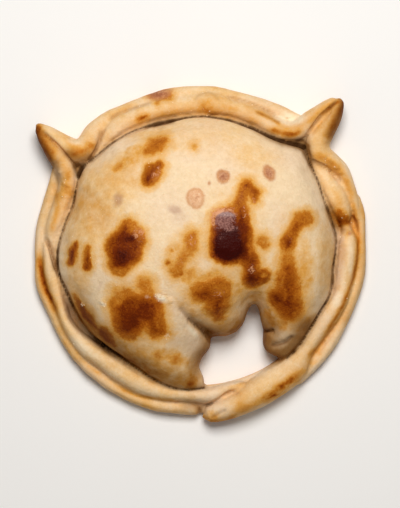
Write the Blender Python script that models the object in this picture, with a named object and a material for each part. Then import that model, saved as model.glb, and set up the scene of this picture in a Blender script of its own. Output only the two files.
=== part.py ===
"""A baked empanada: a disc of dough folded in half over its filling, the edge rolled up tight,
two corners pinched out into horns, and the two ends brought round until one crosses the other.

It is one piece of dough: a puffed belly, a rolled rim right round it, and the gap that the
fold leaves between the belly and the crossing ends. The names below are in millimetres.
The origin is under the middle of the part, on the flat face that it rests on, and +Z is up.
"""

import math

import bmesh
import bpy
import numpy as np
from mathutils import Vector
from mathutils.geometry import delaunay_2d_cdt

MM = 0.001

# The belly: a skin of dough over the filling.
BELLY_HEIGHT = 31.0
BELLY_WALL = 6.5           # how far up its side stands straight, against the rim
BELLY_FOOT_INSET = 1.2     # the side draws in this much where it meets the tray
BELLY_ROUNDNESS = 0.47     # 0.5 is an ellipsoid, and less is flatter on top
BELLY_GRAIN = 1.9          # spacing of the points over the skin
EDGE_GRAIN = 1.5           # and along its edge and creases
LATTICE_CLEARANCE = 1.2    # the even points over the skin stay this far from the placed ones
BELLY_INSETS = (0.6, 1.6)  # two rows of points follow the skin's edge at these distances
INSET_KEEP = 0.9           # share of that distance that such a point must keep from every part of it
SAME_POINT = 1e-5
FILM_STEPS = 1500

# The rim: dough rolls that lie side by side on a thin brim.
INNER_ROLL = 9.6
OUTER_ROLL = 6.6
OUTER_RIDGE = 5.8
HORN_TOP = 12.0
BRIM_RADIUS = 43.6
BRIM_HALF_WIDTH = 4.2
BRIM_TOP = 4.2
ROLL_SIDES = 14
ROLL_GAP = 1.6             # spacing of a roll's sections along the way
ROLL_SQUARENESS = 2.3      # superellipse exponent of a roll's section
ROLL_TIP = 0.8             # an end reaches out this share of its half width
ROLL_SINK = 1.6            # a roll's section reaches this far below the tray's level, then is cut

# How the shapes are joined, and the block that cuts the underside flat.
JOIN_VOXEL = 0.65
SMOOTH_TURNS = 4
FACES_KEPT = 0.075         # share of the joined mesh's faces that the solid keeps
TRAY_WIDTH = 140.0
TRAY_DEPTH = 20.0
SMOOTH_BELOW_DEGREES = 50.0

# The belly's outline against the rim, from the left lobe's end round by the far side to the
# right lobe, as bearing (degrees anticlockwise from +X) and radius.
BELLY_AT_RIM = [
    (272, 40.2), (263.5, 40.9), (255.5, 40.6), (246, 39.5), (235.5, 38.8), (225, 39.3), (215, 40.6),
    (207, 41.1), (197, 41.4), (185, 42.7), (176.5, 42.4), (167.5, 41.4), (158.5, 40.8), (149.5, 42.0),
    (141.5, 42.8), (130, 42.4), (119, 42.0), (103, 41.4), (88, 41.8), (77, 41.2), (66, 40.9),
    (54.5, 41.4), (45, 43.6), (34, 42.0), (23, 40.8), (13.5, 41.1), (6.5, 41.3), (-4.5, 40.3),
    (-17, 41.0), (-26.5, 40.0), (-37.5, 40.2), (-44, 40.7), (-50, 40.7),
]
# The rest of it goes round the gap, as x and y: up the right lobe's side to the top of the gap,
# down the middle lobe, and out along the left lobe's end.
BELLY_AT_GAP = [
    (22.2, -30.5), (19.5, -28.6), (19.1, -25.6), (19.2, -22.6), (18.4, -19.6), (17.9, -16.6),
    (17.2, -15.1), (16.3, -14.7), (14.4, -16.6), (13.2, -20.0), (11.2, -23.0), (7.8, -24.5),
    (3.6, -25.1), (3.2, -28.0), (0.7, -31.0), (-0.2, -34.0), (1.1, -37.0),
]

# Creases hold the skin down, each along a line of x and y from the gap inwards. The number after
# it is the share of its free height that the skin keeps at the line's first point. The hold eases
# off along the line, as a power of the way along it, until the skin finds its own way.
CREASE_EASE_POWER = 0.8
CREASE_ENDS_AT = 0.86
CREASES = [
    ([(3.6, -25.1), (0.4, -21.4), (-3.0, -17.6), (-6.4, -14.4)], 0.42),
    ([(16.3, -14.7), (16.6, -10.8), (17.4, -7.2)], 0.62),
    ([(19.2, -22.6), (21.8, -23.0), (24.6, -24.6), (27.6, -26.8)], 0.72),
]

# Where the rim is pressed on the belly, a low seam of dough fills the foot of the crevice. It
# sinks where the left strand stands away from the belly.
SEAM_HALF_WIDTH = 1.5
SEAM_TOP = 5.4
SEAM_LOW_TOP = 3.4
SEAM_LOW_BEARINGS = (201, 226)

# Rolls of the rim. Each station is bearing, radius, half width, top and, where the roll leaves
# the tray, the height of its underside.
LEFT_CURL_AND_OUTER_ROLL = [
    (141.7, 62.0, 1.2, 10.0, 4.4), (141.4, 58.6, 1.9, 11.0, 2.4), (141.0, 54.6, 2.4, 11.2, 0.4),
    (141.1, 51.0, 3.1, 11.2), (140.8, 48.0, 3.9, 11.4), (138.6, 46.4, 3.9, 11.0),
    (134.8, 47.0, 3.4, 10.2), (130.6, 48.6, 2.9, 8.8), (126, 49.1, 2.3, 7.4),
    (118, 48.7, 2.1, OUTER_ROLL), (90, 48.7, 2.1, OUTER_ROLL), (64, 48.7, 2.1, OUTER_ROLL),
    (54.5, 50.3, 1.5, 5.8), (51.3, 51.4, 1.0, 4.6),
]
LEFT_HORN_STRAND = [
    (142.5, 61.3, 1.2, 9.8, 4.2), (144, 57.6, 1.9, 11.4, 2.4), (145.4, 53.2, 2.5, 11.8, 0.0),
    (147.2, 48.4, 3.0, 11.4), (151, 45.0, 3.0, 10.4), (160, 44.0, 3.1, 9.4),
    (170, 44.6, 2.8, 8.4), (179.5, 44.7, 1.2, 5.6),
]
TOP_ROLL = [
    (138, 43.8, 1.4, 6.6), (131.5, 44.4, 2.4, 8.0), (124.5, 45.3, 3.1, 9.2),
    (115, 45.2, 3.4, INNER_ROLL), (92, 44.9, 3.4, INNER_ROLL), (86, 45.4, 3.8, 10.8),
    (80, 45.0, 3.4, INNER_ROLL), (66, 44.3, 3.3, INNER_ROLL), (58.5, 44.2, 3.4, 10.0),
    (53.4, 45.2, 3.5, 10.4), (51.2, 47.8, 3.2, 11.0), (50.4, 52.2, 2.7, HORN_TOP, 0.0),
    (49.6, 57.0, 1.9, HORN_TOP, 2.2), (48.4, 61.1, 1.5, 11.0, 4.4),
]
RIGHT_HORN_STRAND = [
    (47.6, 62.0, 1.5, 11.0, 4.4), (46.2, 58.8, 2.2, HORN_TOP, 2.0), (45.2, 55.4, 2.7, HORN_TOP, 0.0),
    (44.4, 52.0, 3.2, 11.8), (43, 48.7, 3.7, 11.4), (39.5, 47.5, 3.7, 11.0),
    (35, 48.3, 2.9, 10.4), (31, 49.4, 2.5, 9.5), (24, 49.3, 1.9, 8.3),
    (16.5, 48.9, 1.5, 7.2), (12.5, 48.9, 1.1, 6.2),
]
RIGHT_FLAP = [
    (36.5, 43.2, 1.8, 7.8), (30.5, 43.5, 2.5, 9.2), (24.5, 43.5, 2.9, 9.8),
    (19, 43.7, 3.0, 10.0), (15, 44.1, 2.4, 9.2), (11.8, 44.1, 1.4, 7.0),
]
RIGHT_STRAND = [
    (11.6, 44.7, 1.6, 6.4), (6.5, 44.6, 2.9, 8.6), (0.5, 44.3, 3.6, INNER_ROLL),
    (-6, 43.8, 3.6, INNER_ROLL), (-17, 43.9, 3.1, INNER_ROLL), (-24, 43.1, 3.2, INNER_ROLL),
    (-30, 42.6, 3.1, INNER_ROLL), (-37, 42.6, 2.9, 9.4), (-42.7, 43.0, 3.2, 9.4),
    (-50, 44.1, 4.4, 9.8), (-61.5, 44.4, 4.6, 10.8), (-69, 45.4, 4.3, 11.0),
    (-76, 46.6, 3.8, 10.7), (-82, 47.6, 3.3, 9.8), (-86.7, 48.6, 2.5, 8.0),
]
RIGHT_RIDGE = [
    (20, 50.2, 1.2, 5.0), (12.8, 49.6, 1.5, OUTER_RIDGE), (4, 48.9, 1.4, OUTER_RIDGE),
    (-9, 48.7, 1.6, OUTER_RIDGE), (-20, 47.9, 1.6, OUTER_RIDGE), (-33, 47.6, 1.7, OUTER_RIDGE),
    (-41, 47.8, 1.9, OUTER_RIDGE), (-47, 47.9, 1.7, 5.4), (-52.5, 47.8, 1.6, 5.0),
]
LEFT_RIDGE = [
    (148, 50.1, 1.5, 4.8), (153, 48.7, 1.9, 5.4), (162, 47.9, 2.0, 5.6), (172, 48.1, 1.8, 5.6),
    (180, 48.5, 1.3, OUTER_RIDGE), (190, 48.7, 1.4, OUTER_RIDGE), (203, 47.8, 1.4, OUTER_RIDGE),
    (220, 48.0, 1.5, OUTER_RIDGE), (229, 47.7, 1.8, OUTER_RIDGE), (248, 47.5, 1.8, OUTER_RIDGE),
    (256, 47.1, 2.0, OUTER_RIDGE), (263, 46.5, 2.0, OUTER_RIDGE), (269, 46.4, 1.8, 5.4),
]
LEFT_STRAND = [
    (175.5, 46.8, 0.9, 6.6), (179.2, 45.8, 1.7, 8.0), (184, 45.0, 2.3, 9.0),
    (191, 44.4, 2.8, INNER_ROLL), (199, 44.5, 2.4, INNER_ROLL), (206.5, 45.0, 2.1, INNER_ROLL),
    (213, 44.7, 2.3, INNER_ROLL), (220.5, 44.0, 3.0, INNER_ROLL), (227, 43.0, 3.1, INNER_ROLL),
    (236, 42.5, 3.6, INNER_ROLL), (246, 42.7, 3.5, INNER_ROLL), (255.5, 42.7, 2.5, 9.2),
    (266, 42.3, 2.1, 9.0), (275, 42.5, 2.2, 9.0), (283, 41.1, 1.7, 8.5),
    (288, 41.9, 1.6, 7.8), (291.5, 43.6, 1.4, 6.6),
]


def straight_length(one, two):
    """Distance between two stations given as x and y."""
    return math.hypot(two[0] - one[0], two[1] - one[1])


def round_length(one, two):
    """Distance between two stations given as bearing and radius."""
    turn = math.radians(two[0] - one[0])
    return math.hypot(turn * (one[1] + two[1]) / 2, two[1] - one[1])


def smooth_line(stations, gap, length=straight_length):
    """Rows on a smooth curve through the stations, about gap apart along the way. Every column
    is carried along, so widths and heights change as smoothly as places do."""
    rows = np.array(stations, float)
    spans = np.array([length(one, two) for one, two in zip(rows, rows[1:])])[:, None]
    slopes = (rows[1:] - rows[:-1]) / spans
    turns = slopes.copy()
    turns[1:] = (slopes[:-1] * spans[1:] + slopes[1:] * spans[:-1]) / (spans[1:] + spans[:-1])
    turns = np.vstack((turns, slopes[-1:]))
    out = []
    for i in range(len(rows) - 1):
        span = spans[i, 0]
        for t in np.linspace(0.0, 1.0, max(1, round(span / gap)), endpoint=False):
            rise = t * t * (3 - 2 * t)
            bend = span * t * (1 - t) * (turns[i] * (1 - t) - turns[i + 1] * t)
            out.append(rows[i] + (rows[i + 1] - rows[i]) * rise + bend)
    out.append(rows[-1])
    return np.array(out)


def round_the_rim(stations, gap=ROLL_GAP):
    """Stations by bearing and radius, run through smoothly and turned into x and y."""
    rows = smooth_line(stations, gap, round_length)
    bearing, radius = np.radians(rows[:, 0]), rows[:, 1].copy()
    rows[:, 0] = radius * np.cos(bearing)
    rows[:, 1] = radius * np.sin(bearing)
    return rows


def seam():
    """The low seam along the rim's stretch of the belly's outline."""
    low_from, low_to = SEAM_LOW_BEARINGS
    return [(bearing, radius, SEAM_HALF_WIDTH, SEAM_LOW_TOP if low_from < bearing < low_to else SEAM_TOP)
            for bearing, radius in BELLY_AT_RIM]


def add_mesh(name, bm):
    """A new object in the scene that takes the bmesh over."""
    mesh = bpy.data.meshes.new(name)
    bm.to_mesh(mesh)
    bm.free()
    obj = bpy.data.objects.new(name, mesh)
    bpy.context.scene.collection.objects.link(obj)
    return obj


def bent(value, squareness):
    """A sine or cosine pushed out towards a superellipse."""
    return math.copysign(abs(value) ** (2 / squareness), value)


def add_roll(bm, stations, closed=False):
    """Sweep a superellipse section round the rim. An open roll's ends close in on a point."""
    rows = round_the_rim([tuple(s) + (-ROLL_SINK,) * (5 - len(s)) for s in stations])
    if closed:
        rows = rows[:-1]
    count = len(rows)
    rings = []
    for i, (x, y, half_width, top, bottom) in enumerate(rows):
        before = rows[(i - 1) % count if closed else max(i - 1, 0)]
        after = rows[(i + 1) % count if closed else min(i + 1, count - 1)]
        along = Vector((after[0] - before[0], after[1] - before[1])).normalized()
        across = Vector((along.y, -along.x))
        ring = []
        for k in range(ROLL_SIDES):
            angle = 2 * math.pi * k / ROLL_SIDES
            place = Vector((x, y)) + across * (half_width * bent(math.cos(angle), ROLL_SQUARENESS))
            rise = (top - bottom) / 2 * bent(math.sin(angle), ROLL_SQUARENESS)
            ring.append(bm.verts.new((place.x * MM, place.y * MM, ((top + bottom) / 2 + rise) * MM)))
        rings.append(ring)
    pairs = list(zip(rings, rings[1:]))
    if closed:
        pairs.append((rings[-1], rings[0]))
    for one, two in pairs:
        for k in range(ROLL_SIDES):
            n = (k + 1) % ROLL_SIDES
            bm.faces.new((one[k], two[k], two[n], one[n]))
    if not closed:
        for ring, row, inner in ((rings[0], rows[0], rows[1]), (rings[-1], rows[-1], rows[-2])):
            x, y, half_width, top, bottom = row
            outward = Vector((x - inner[0], y - inner[1])).normalized() * (half_width * ROLL_TIP)
            tip = bm.verts.new(((x + outward.x) * MM, (y + outward.y) * MM,
                                (top + max(bottom, 0.0)) / 2 * MM))
            for k in range(ROLL_SIDES):
                bm.faces.new((ring[k], ring[(k + 1) % ROLL_SIDES], tip))


def inward(edge, k):
    """Unit vector that points into the belly at a point of its outline, which runs clockwise."""
    along = edge[(k + 1) % len(edge)] - edge[k - 1]
    return Vector((along.y, -along.x)).normalized()


def skin_points(edge, lines):
    """Points for the belly's skin: its edge, the creases, two rows that follow the edge and an
    even triangular lattice, with the triangles of a Delaunay triangulation. The edge's points
    come out first."""
    points = list(edge)
    count = len(edge)
    constraints = [(i, (i + 1) % count) for i in range(count)]
    crease_at = []
    for line in lines:
        start = len(points)
        points += [Vector(row) for row in smooth_line(line, EDGE_GRAIN)[1:]]
        crease_at.append(list(range(start, len(points))))
        constraints += [(i, i + 1) for i in range(start, len(points) - 1)]
    for inset in BELLY_INSETS:
        for k in range(count):
            place = edge[k] + inward(edge, k) * inset
            if min((place - other).length for other in edge) > inset * INSET_KEEP:
                points.append(place)
    fixed = np.array([tuple(p) for p in points])
    low, high = fixed.min(axis=0), fixed.max(axis=0)
    row_gap = BELLY_GRAIN * math.sqrt(3) / 2
    for j in range(int((high[1] - low[1]) / row_gap) + 1):
        for i in range(int((high[0] - low[0]) / BELLY_GRAIN) + 1):
            x = low[0] + (i + 0.5 * (j % 2)) * BELLY_GRAIN
            y = low[1] + j * row_gap
            if np.hypot(fixed[:, 0] - x, fixed[:, 1] - y).min() > LATTICE_CLEARANCE:
                points.append(Vector((x, y)))
    whole = delaunay_2d_cdt(points, constraints, [list(range(count))], 1, SAME_POINT)
    placed, faces, origins = whole[0], whole[2], whole[3]
    used = sorted({i for face in faces for i in face})
    number = {old: new for new, old in enumerate(used)}
    index = {source: number[i] for i in used for source in origins[i]}
    faces = [[number[i] for i in face] for face in faces]
    edge_at = [index[i] for i in range(count)]
    crease_at = [[index[i] for i in line] for line in crease_at]
    return np.array([tuple(placed[i]) for i in used]), faces, edge_at, crease_at


def blow_up(points, faces, edge_at, held):
    """Height of a film that is pinned along the edge and blown up from below: each point rises
    to the mean of its neighbours, the near ones counting most, plus a push that suits its share
    of the film. Points in held stay where they are put."""
    pairs = {(f[i], f[i - 1]) for f in faces for i in range(len(f))}
    pairs |= {(b, a) for a, b in pairs}
    ends = np.array(sorted(pairs))
    count = len(points)
    pull = 1.0 / ((points[ends[:, 0]] - points[ends[:, 1]]) ** 2).sum(axis=1)
    whole_pull = np.bincount(ends[:, 0], weights=pull, minlength=count)
    rise = np.zeros(count)
    where = np.array(sorted(held), int)
    value = np.array([held[i] for i in where])
    for _ in range(FILM_STEPS):
        pulled = np.bincount(ends[:, 0], weights=pull * rise[ends[:, 1]], minlength=count)
        rise = (pulled + 1.0) / whole_pull
        rise[edge_at] = 0.0
        rise[where] = value
    return rise


def add_belly(bm):
    """The belly: blown-up skin on a straight side, over a flat foot that is drawn in a little."""
    at_rim = round_the_rim(BELLY_AT_RIM, EDGE_GRAIN)
    at_gap = smooth_line([tuple(at_rim[-1])] + BELLY_AT_GAP + [tuple(at_rim[0])], EDGE_GRAIN)
    edge = [Vector(row) for row in at_rim] + [Vector(row) for row in at_gap[1:-1]]
    points, faces, edge_at, crease_at = skin_points(edge, [line for line, _ in CREASES])
    free = blow_up(points, faces, edge_at, {})
    held = {}
    for (_, kept), line in zip(CREASES, crease_at):
        for k, i in enumerate(line):
            share = kept + (1.0 - kept) * (k / (len(line) - 1)) ** CREASE_EASE_POWER
            if share < CREASE_ENDS_AT:
                held[i] = free[i] * share ** (1 / BELLY_ROUNDNESS)
    rise = blow_up(points, faces, edge_at, held)
    skin = BELLY_WALL + (BELLY_HEIGHT - BELLY_WALL) * (rise / rise.max()) ** BELLY_ROUNDNESS
    top = [bm.verts.new((x * MM, y * MM, z * MM)) for (x, y), z in zip(points, skin)]
    for face in faces:
        bm.faces.new([top[i] for i in face])
    # the side goes down from the skin's edge in two steps, the lower one drawn in
    upper = [top[i] for i in edge_at]
    for height, inset in ((BRIM_TOP / 2, 0.0), (-ROLL_SINK, BELLY_FOOT_INSET)):
        lower = []
        for k in range(len(edge)):
            place = edge[k] + inward(edge, k) * inset
            lower.append(bm.verts.new((place.x * MM, place.y * MM, height * MM)))
        for k in range(len(edge)):
            n = (k + 1) % len(edge)
            bm.faces.new((upper[k], upper[n], lower[n], lower[k]))
        upper = lower
    bm.faces.new(upper)


def keep_largest(obj):
    """Drop any small closed shell that the join left inside."""
    bm = bmesh.new()
    bm.from_mesh(obj.data)
    islands = []
    unseen = set(bm.verts)
    while unseen:
        reached = [unseen.pop()]
        for vert in reached:
            for link in vert.link_edges:
                other = link.other_vert(vert)
                if other in unseen:
                    unseen.discard(other)
                    reached.append(other)
        islands.append(reached)
    islands.sort(key=len)
    bmesh.ops.delete(bm, geom=[v for island in islands[:-1] for v in island], context="VERTS")
    bm.to_mesh(obj.data)
    bm.free()


def bake_modifiers(obj):
    """Turn what the object's modifiers show into its own plain mesh."""
    shown = obj.evaluated_get(bpy.context.evaluated_depsgraph_get())
    mesh = bpy.data.meshes.new_from_object(shown)
    old = obj.data
    obj.modifiers.clear()
    obj.data = mesh
    bpy.data.meshes.remove(old)


def tray_cutter():
    """A block below the tray's level."""
    bm = bmesh.new()
    bmesh.ops.create_cube(bm, size=1.0)
    bmesh.ops.scale(bm, vec=(TRAY_WIDTH * MM, TRAY_WIDTH * MM, TRAY_DEPTH * MM), verts=bm.verts)
    bmesh.ops.translate(bm, vec=(0.0, 0.0, -TRAY_DEPTH / 2 * MM), verts=bm.verts)
    cutter = add_mesh("tray_cutter", bm)
    cutter.display_type = "WIRE"
    cutter.hide_render = True
    return cutter


def baked_dough():
    material = bpy.data.materials.new("baked_dough")
    material.use_nodes = True
    shader = material.node_tree.nodes["Principled BSDF"]
    shader.inputs["Base Color"].default_value = (0.80, 0.55, 0.27, 1.0)
    shader.inputs["Roughness"].default_value = 0.55
    shader.inputs["Metallic"].default_value = 0.0
    return material


for old_object in list(bpy.data.objects):
    bpy.data.objects.remove(old_object, do_unlink=True)

# The belly and the rolls overlap freely here.
dough = bmesh.new()
add_belly(dough)
brim = (BRIM_RADIUS, BRIM_HALF_WIDTH, BRIM_TOP)
add_roll(dough, [(0, *brim), (360, *brim)], closed=True)
for roll in (seam(), LEFT_CURL_AND_OUTER_ROLL, LEFT_HORN_STRAND, TOP_ROLL, RIGHT_HORN_STRAND,
             RIGHT_FLAP, RIGHT_STRAND, RIGHT_RIDGE, LEFT_RIDGE, LEFT_STRAND):
    add_roll(dough, roll)
bmesh.ops.recalc_face_normals(dough, faces=dough.faces)
empanada = add_mesh("empanada", dough)

# A voxel remesh joins them into one skin, which is softened and thinned out.
join = empanada.modifiers.new("join", "REMESH")
join.mode = "VOXEL"
join.voxel_size = JOIN_VOXEL * MM
soften = empanada.modifiers.new("soften", "SMOOTH")
soften.factor = 0.5
soften.iterations = SMOOTH_TURNS
bake_modifiers(empanada)
keep_largest(empanada)
fewer = empanada.modifiers.new("fewer", "DECIMATE")
fewer.ratio = FACES_KEPT
bake_modifiers(empanada)

# The tray presses the underside flat.
flatten = empanada.modifiers.new("flatten", "BOOLEAN")
flatten.operation = "DIFFERENCE"
flatten.solver = "EXACT"
flatten.object = tray_cutter()
bake_modifiers(empanada)
empanada.data.materials.append(baked_dough())
empanada.data.shade_smooth()
empanada.data.set_sharp_from_angle(angle=math.radians(SMOOTH_BELOW_DEGREES))
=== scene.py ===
import math

import bmesh
import bpy
import numpy as np
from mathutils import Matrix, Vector, noise
from mathutils.bvhtree import BVHTree
from mathutils.geometry import delaunay_2d_cdt


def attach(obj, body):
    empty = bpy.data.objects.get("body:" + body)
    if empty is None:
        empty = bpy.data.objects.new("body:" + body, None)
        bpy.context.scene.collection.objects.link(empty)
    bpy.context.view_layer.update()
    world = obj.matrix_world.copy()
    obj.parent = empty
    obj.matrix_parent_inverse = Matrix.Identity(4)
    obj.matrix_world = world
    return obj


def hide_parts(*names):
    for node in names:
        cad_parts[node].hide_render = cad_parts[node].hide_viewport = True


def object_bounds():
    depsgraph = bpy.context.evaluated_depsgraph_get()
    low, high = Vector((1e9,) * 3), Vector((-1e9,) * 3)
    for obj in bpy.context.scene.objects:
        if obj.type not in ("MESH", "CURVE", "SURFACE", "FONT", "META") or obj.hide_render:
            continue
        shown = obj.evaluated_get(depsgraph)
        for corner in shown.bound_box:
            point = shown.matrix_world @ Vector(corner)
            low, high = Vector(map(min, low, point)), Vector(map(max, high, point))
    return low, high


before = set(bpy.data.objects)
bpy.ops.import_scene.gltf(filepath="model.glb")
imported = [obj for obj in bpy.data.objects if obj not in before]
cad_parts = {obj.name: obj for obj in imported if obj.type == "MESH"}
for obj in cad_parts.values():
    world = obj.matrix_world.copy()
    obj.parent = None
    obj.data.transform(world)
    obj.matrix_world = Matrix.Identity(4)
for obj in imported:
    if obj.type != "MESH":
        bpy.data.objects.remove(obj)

cad_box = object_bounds()
MM = 0.001

# ---------------------------------------------------------------- the table, the light, the camera
# The empanada lies on a plain pale table, seen from straight above. One broad soft light stands
# high over its horned side, and the pale room fills the shadows a little.
TABLE_SIZE = 900
CAMERA_LENS = 250.0
CAMERA_HEIGHT = 1066
KEY_PLACE = (20, 235, 584)
KEY_SIZE = 260
KEY_POWER = 3.5
FILL_PLACE = (120, -260, 480)
FILL_SIZE = 500
FILL_POWER = 0.10
ROOM_LIGHT = 0.16


def add_mesh(name, bm):
    """A new object in the scene that takes the bmesh over."""
    mesh = bpy.data.meshes.new(name)
    bm.to_mesh(mesh)
    bm.free()
    obj = bpy.data.objects.new(name, mesh)
    bpy.context.scene.collection.objects.link(obj)
    return obj


def add_light(name, place, size, power, colour):
    """A square soft light that faces the empanada."""
    light = bpy.data.lights.new(name, "AREA")
    light.size = size * MM
    light.energy = power
    light.color = colour
    obj = bpy.data.objects.new(name, light)
    obj.location = Vector(place) * MM
    obj.rotation_euler = (-Vector(place)).to_track_quat("-Z", "Y").to_euler()
    bpy.context.scene.collection.objects.link(obj)


def put(tree, kind, **values):
    """A node in the tree. A value is a setting of the node, a number or colour for the input of
    that name, or another node's output to join to it. Underscores stand for spaces."""
    node = tree.nodes.new(kind)
    for name, value in values.items():
        if hasattr(node, name) and name not in ("color", "normal"):
            setattr(node, name, value)
            continue
        key = int(name[1:]) if name[0] == "i" and name[1:].isdigit() else name.replace("_", " ")
        if isinstance(value, bpy.types.NodeSocket):
            tree.links.new(value, node.inputs[key])
        else:
            node.inputs[key].default_value = value
    return node


def new_material(name):
    material = bpy.data.materials.new(name)
    material.use_nodes = True
    return material, material.node_tree, material.node_tree.nodes["Principled BSDF"]


table_mesh = bmesh.new()
bmesh.ops.create_grid(table_mesh, x_segments=1, y_segments=1, size=TABLE_SIZE * MM)
table = add_mesh("table", table_mesh)
table_paint, tree, shader = new_material("pale_table")
coordinates = put(tree, "ShaderNodeTexCoord")
cloudy = put(tree, "ShaderNodeTexNoise", Vector=coordinates.outputs["Object"], Scale=9.0)
tint = put(tree, "ShaderNodeMix", data_type="RGBA", Factor=cloudy.outputs["Fac"])
tint.inputs["A"].default_value = (0.91, 0.90, 0.885, 1)
tint.inputs["B"].default_value = (0.94, 0.935, 0.925, 1)
tree.links.new(tint.outputs["Result"], shader.inputs["Base Color"])
shader.inputs["Roughness"].default_value = 0.7
table.data.materials.append(table_paint)

add_light("window", KEY_PLACE, KEY_SIZE, KEY_POWER, (1.0, 0.975, 0.94))
add_light("room_wall", FILL_PLACE, FILL_SIZE, FILL_POWER, (1.0, 0.97, 0.94))
room = bpy.data.worlds.new("room")
room.use_nodes = True
room.node_tree.nodes["Background"].inputs["Color"].default_value = (1.0, 0.985, 0.965, 1)
room.node_tree.nodes["Background"].inputs["Strength"].default_value = ROOM_LIGHT
bpy.context.scene.world = room
bpy.context.scene.view_settings.view_transform = "Standard"

camera = bpy.data.objects.new("camera", bpy.data.cameras.new("camera"))
camera.data.lens = CAMERA_LENS
camera.data.clip_start = 0.01
camera.location = (0.00015, 0.0, CAMERA_HEIGHT * MM)
bpy.context.scene.collection.objects.link(camera)
bpy.context.scene.camera = camera

# ---------------------------------------------------------------- the crust: its belly
# The belly is a disc of wheat dough folded over the filling, so it puffs up in three lobes in
# the oven. It is drawn as a skin blown up from its outline, with creases that hold it down.
BELLY_HEIGHT = 31.0
BELLY_WALL = 8.0
BELLY_FOOT_INSET = 1.2
BELLY_ROUNDNESS = 0.43
BELLY_GRAIN = 1.9
EDGE_GRAIN = 1.5
LATTICE_CLEARANCE = 1.2
BELLY_INSETS = (0.6, 1.6)
INSET_KEEP = 0.9
SAME_POINT = 1e-5
FILM_STEPS = 1500
FOOT_STEP = 2.1
SINK = 1.6
# bearing and radius round the rim, from the left lobe's end to the right lobe
BELLY_AT_RIM = [
    (272, 40.2), (263.5, 40.9), (255.5, 40.6), (246, 39.5), (235.5, 38.8), (225, 39.3), (215, 40.6),
    (207, 41.1), (197, 41.4), (185, 42.7), (176.5, 42.4), (167.5, 41.4), (158.5, 40.8), (150.5, 42.2),
    (144, 43.6), (138, 42.8), (130, 42.4), (119, 41.9), (104, 40.9), (88, 41.3), (76, 41.0), (66, 40.9),
    (55, 41.5), (50.8, 42.8), (47, 44.3), (45, 44.7), (43, 44.0), (40, 43.0), (33, 41.9), (23, 40.7), (13.5, 41.0), (6.5, 41.3), (-4.5, 40.3),
    (-17, 41.0), (-26.5, 40.0), (-37.5, 40.2), (-44, 40.7), (-50, 40.7),
]
# x and y round the gap, from the right lobe back to the left one
BELLY_AT_GAP = [
    (22.2, -30.5), (19.5, -28.6), (19.1, -25.6), (19.2, -22.6), (18.4, -19.6), (17.9, -16.6),
    (17.2, -15.1), (16.3, -14.7), (14.4, -16.6), (13.2, -20.0), (11.2, -23.0), (7.8, -24.5),
    (3.6, -25.1), (3.2, -28.0), (0.7, -31.0), (-0.2, -34.0), (1.1, -37.0),
]
FOLD_EASE_POWER = 0.8
FOLD_ENDS_AT = 0.86
FOLDS = [
    ([(3.6, -25.1), (0.6, -22.3), (-2.2, -19.9), (-5.8, -15.6)], 0.42),
    ([(16.3, -14.7), (16.5, -12.2), (16.8, -9.8)], 0.74),
    ([(19.2, -22.6), (21.8, -23.0), (24.6, -24.6), (27.6, -26.8)], 0.72),
]


def straight_length(one, two):
    """Distance between two stations given as x and y."""
    return math.hypot(two[0] - one[0], two[1] - one[1])


def round_length(one, two):
    """Distance between two stations given as bearing and radius."""
    turn = math.radians(two[0] - one[0])
    return math.hypot(turn * (one[1] + two[1]) / 2, two[1] - one[1])


def smooth_line(stations, gap, length=straight_length):
    """Rows on a smooth curve through the stations, about gap apart along the way."""
    rows = np.array(stations, float)
    spans = np.array([length(one, two) for one, two in zip(rows, rows[1:])])[:, None]
    slopes = (rows[1:] - rows[:-1]) / spans
    turns = slopes.copy()
    turns[1:] = (slopes[:-1] * spans[1:] + slopes[1:] * spans[:-1]) / (spans[1:] + spans[:-1])
    turns = np.vstack((turns, slopes[-1:]))
    out = []
    for i in range(len(rows) - 1):
        span = spans[i, 0]
        for t in np.linspace(0.0, 1.0, max(1, round(span / gap)), endpoint=False):
            rise = t * t * (3 - 2 * t)
            bend = span * t * (1 - t) * (turns[i] * (1 - t) - turns[i + 1] * t)
            out.append(rows[i] + (rows[i + 1] - rows[i]) * rise + bend)
    out.append(rows[-1])
    return np.array(out)


def round_the_rim(stations, gap):
    """Stations by bearing and radius, run through smoothly and turned into x and y."""
    rows = smooth_line(stations, gap, round_length)
    bearing, radius = np.radians(rows[:, 0]), rows[:, 1].copy()
    rows[:, 0] = radius * np.cos(bearing)
    rows[:, 1] = radius * np.sin(bearing)
    return rows


def inward(edge, k):
    """Unit vector into the belly at a point of its outline, which runs clockwise."""
    along = edge[(k + 1) % len(edge)] - edge[k - 1]
    return Vector((along.y, -along.x)).normalized()


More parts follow.
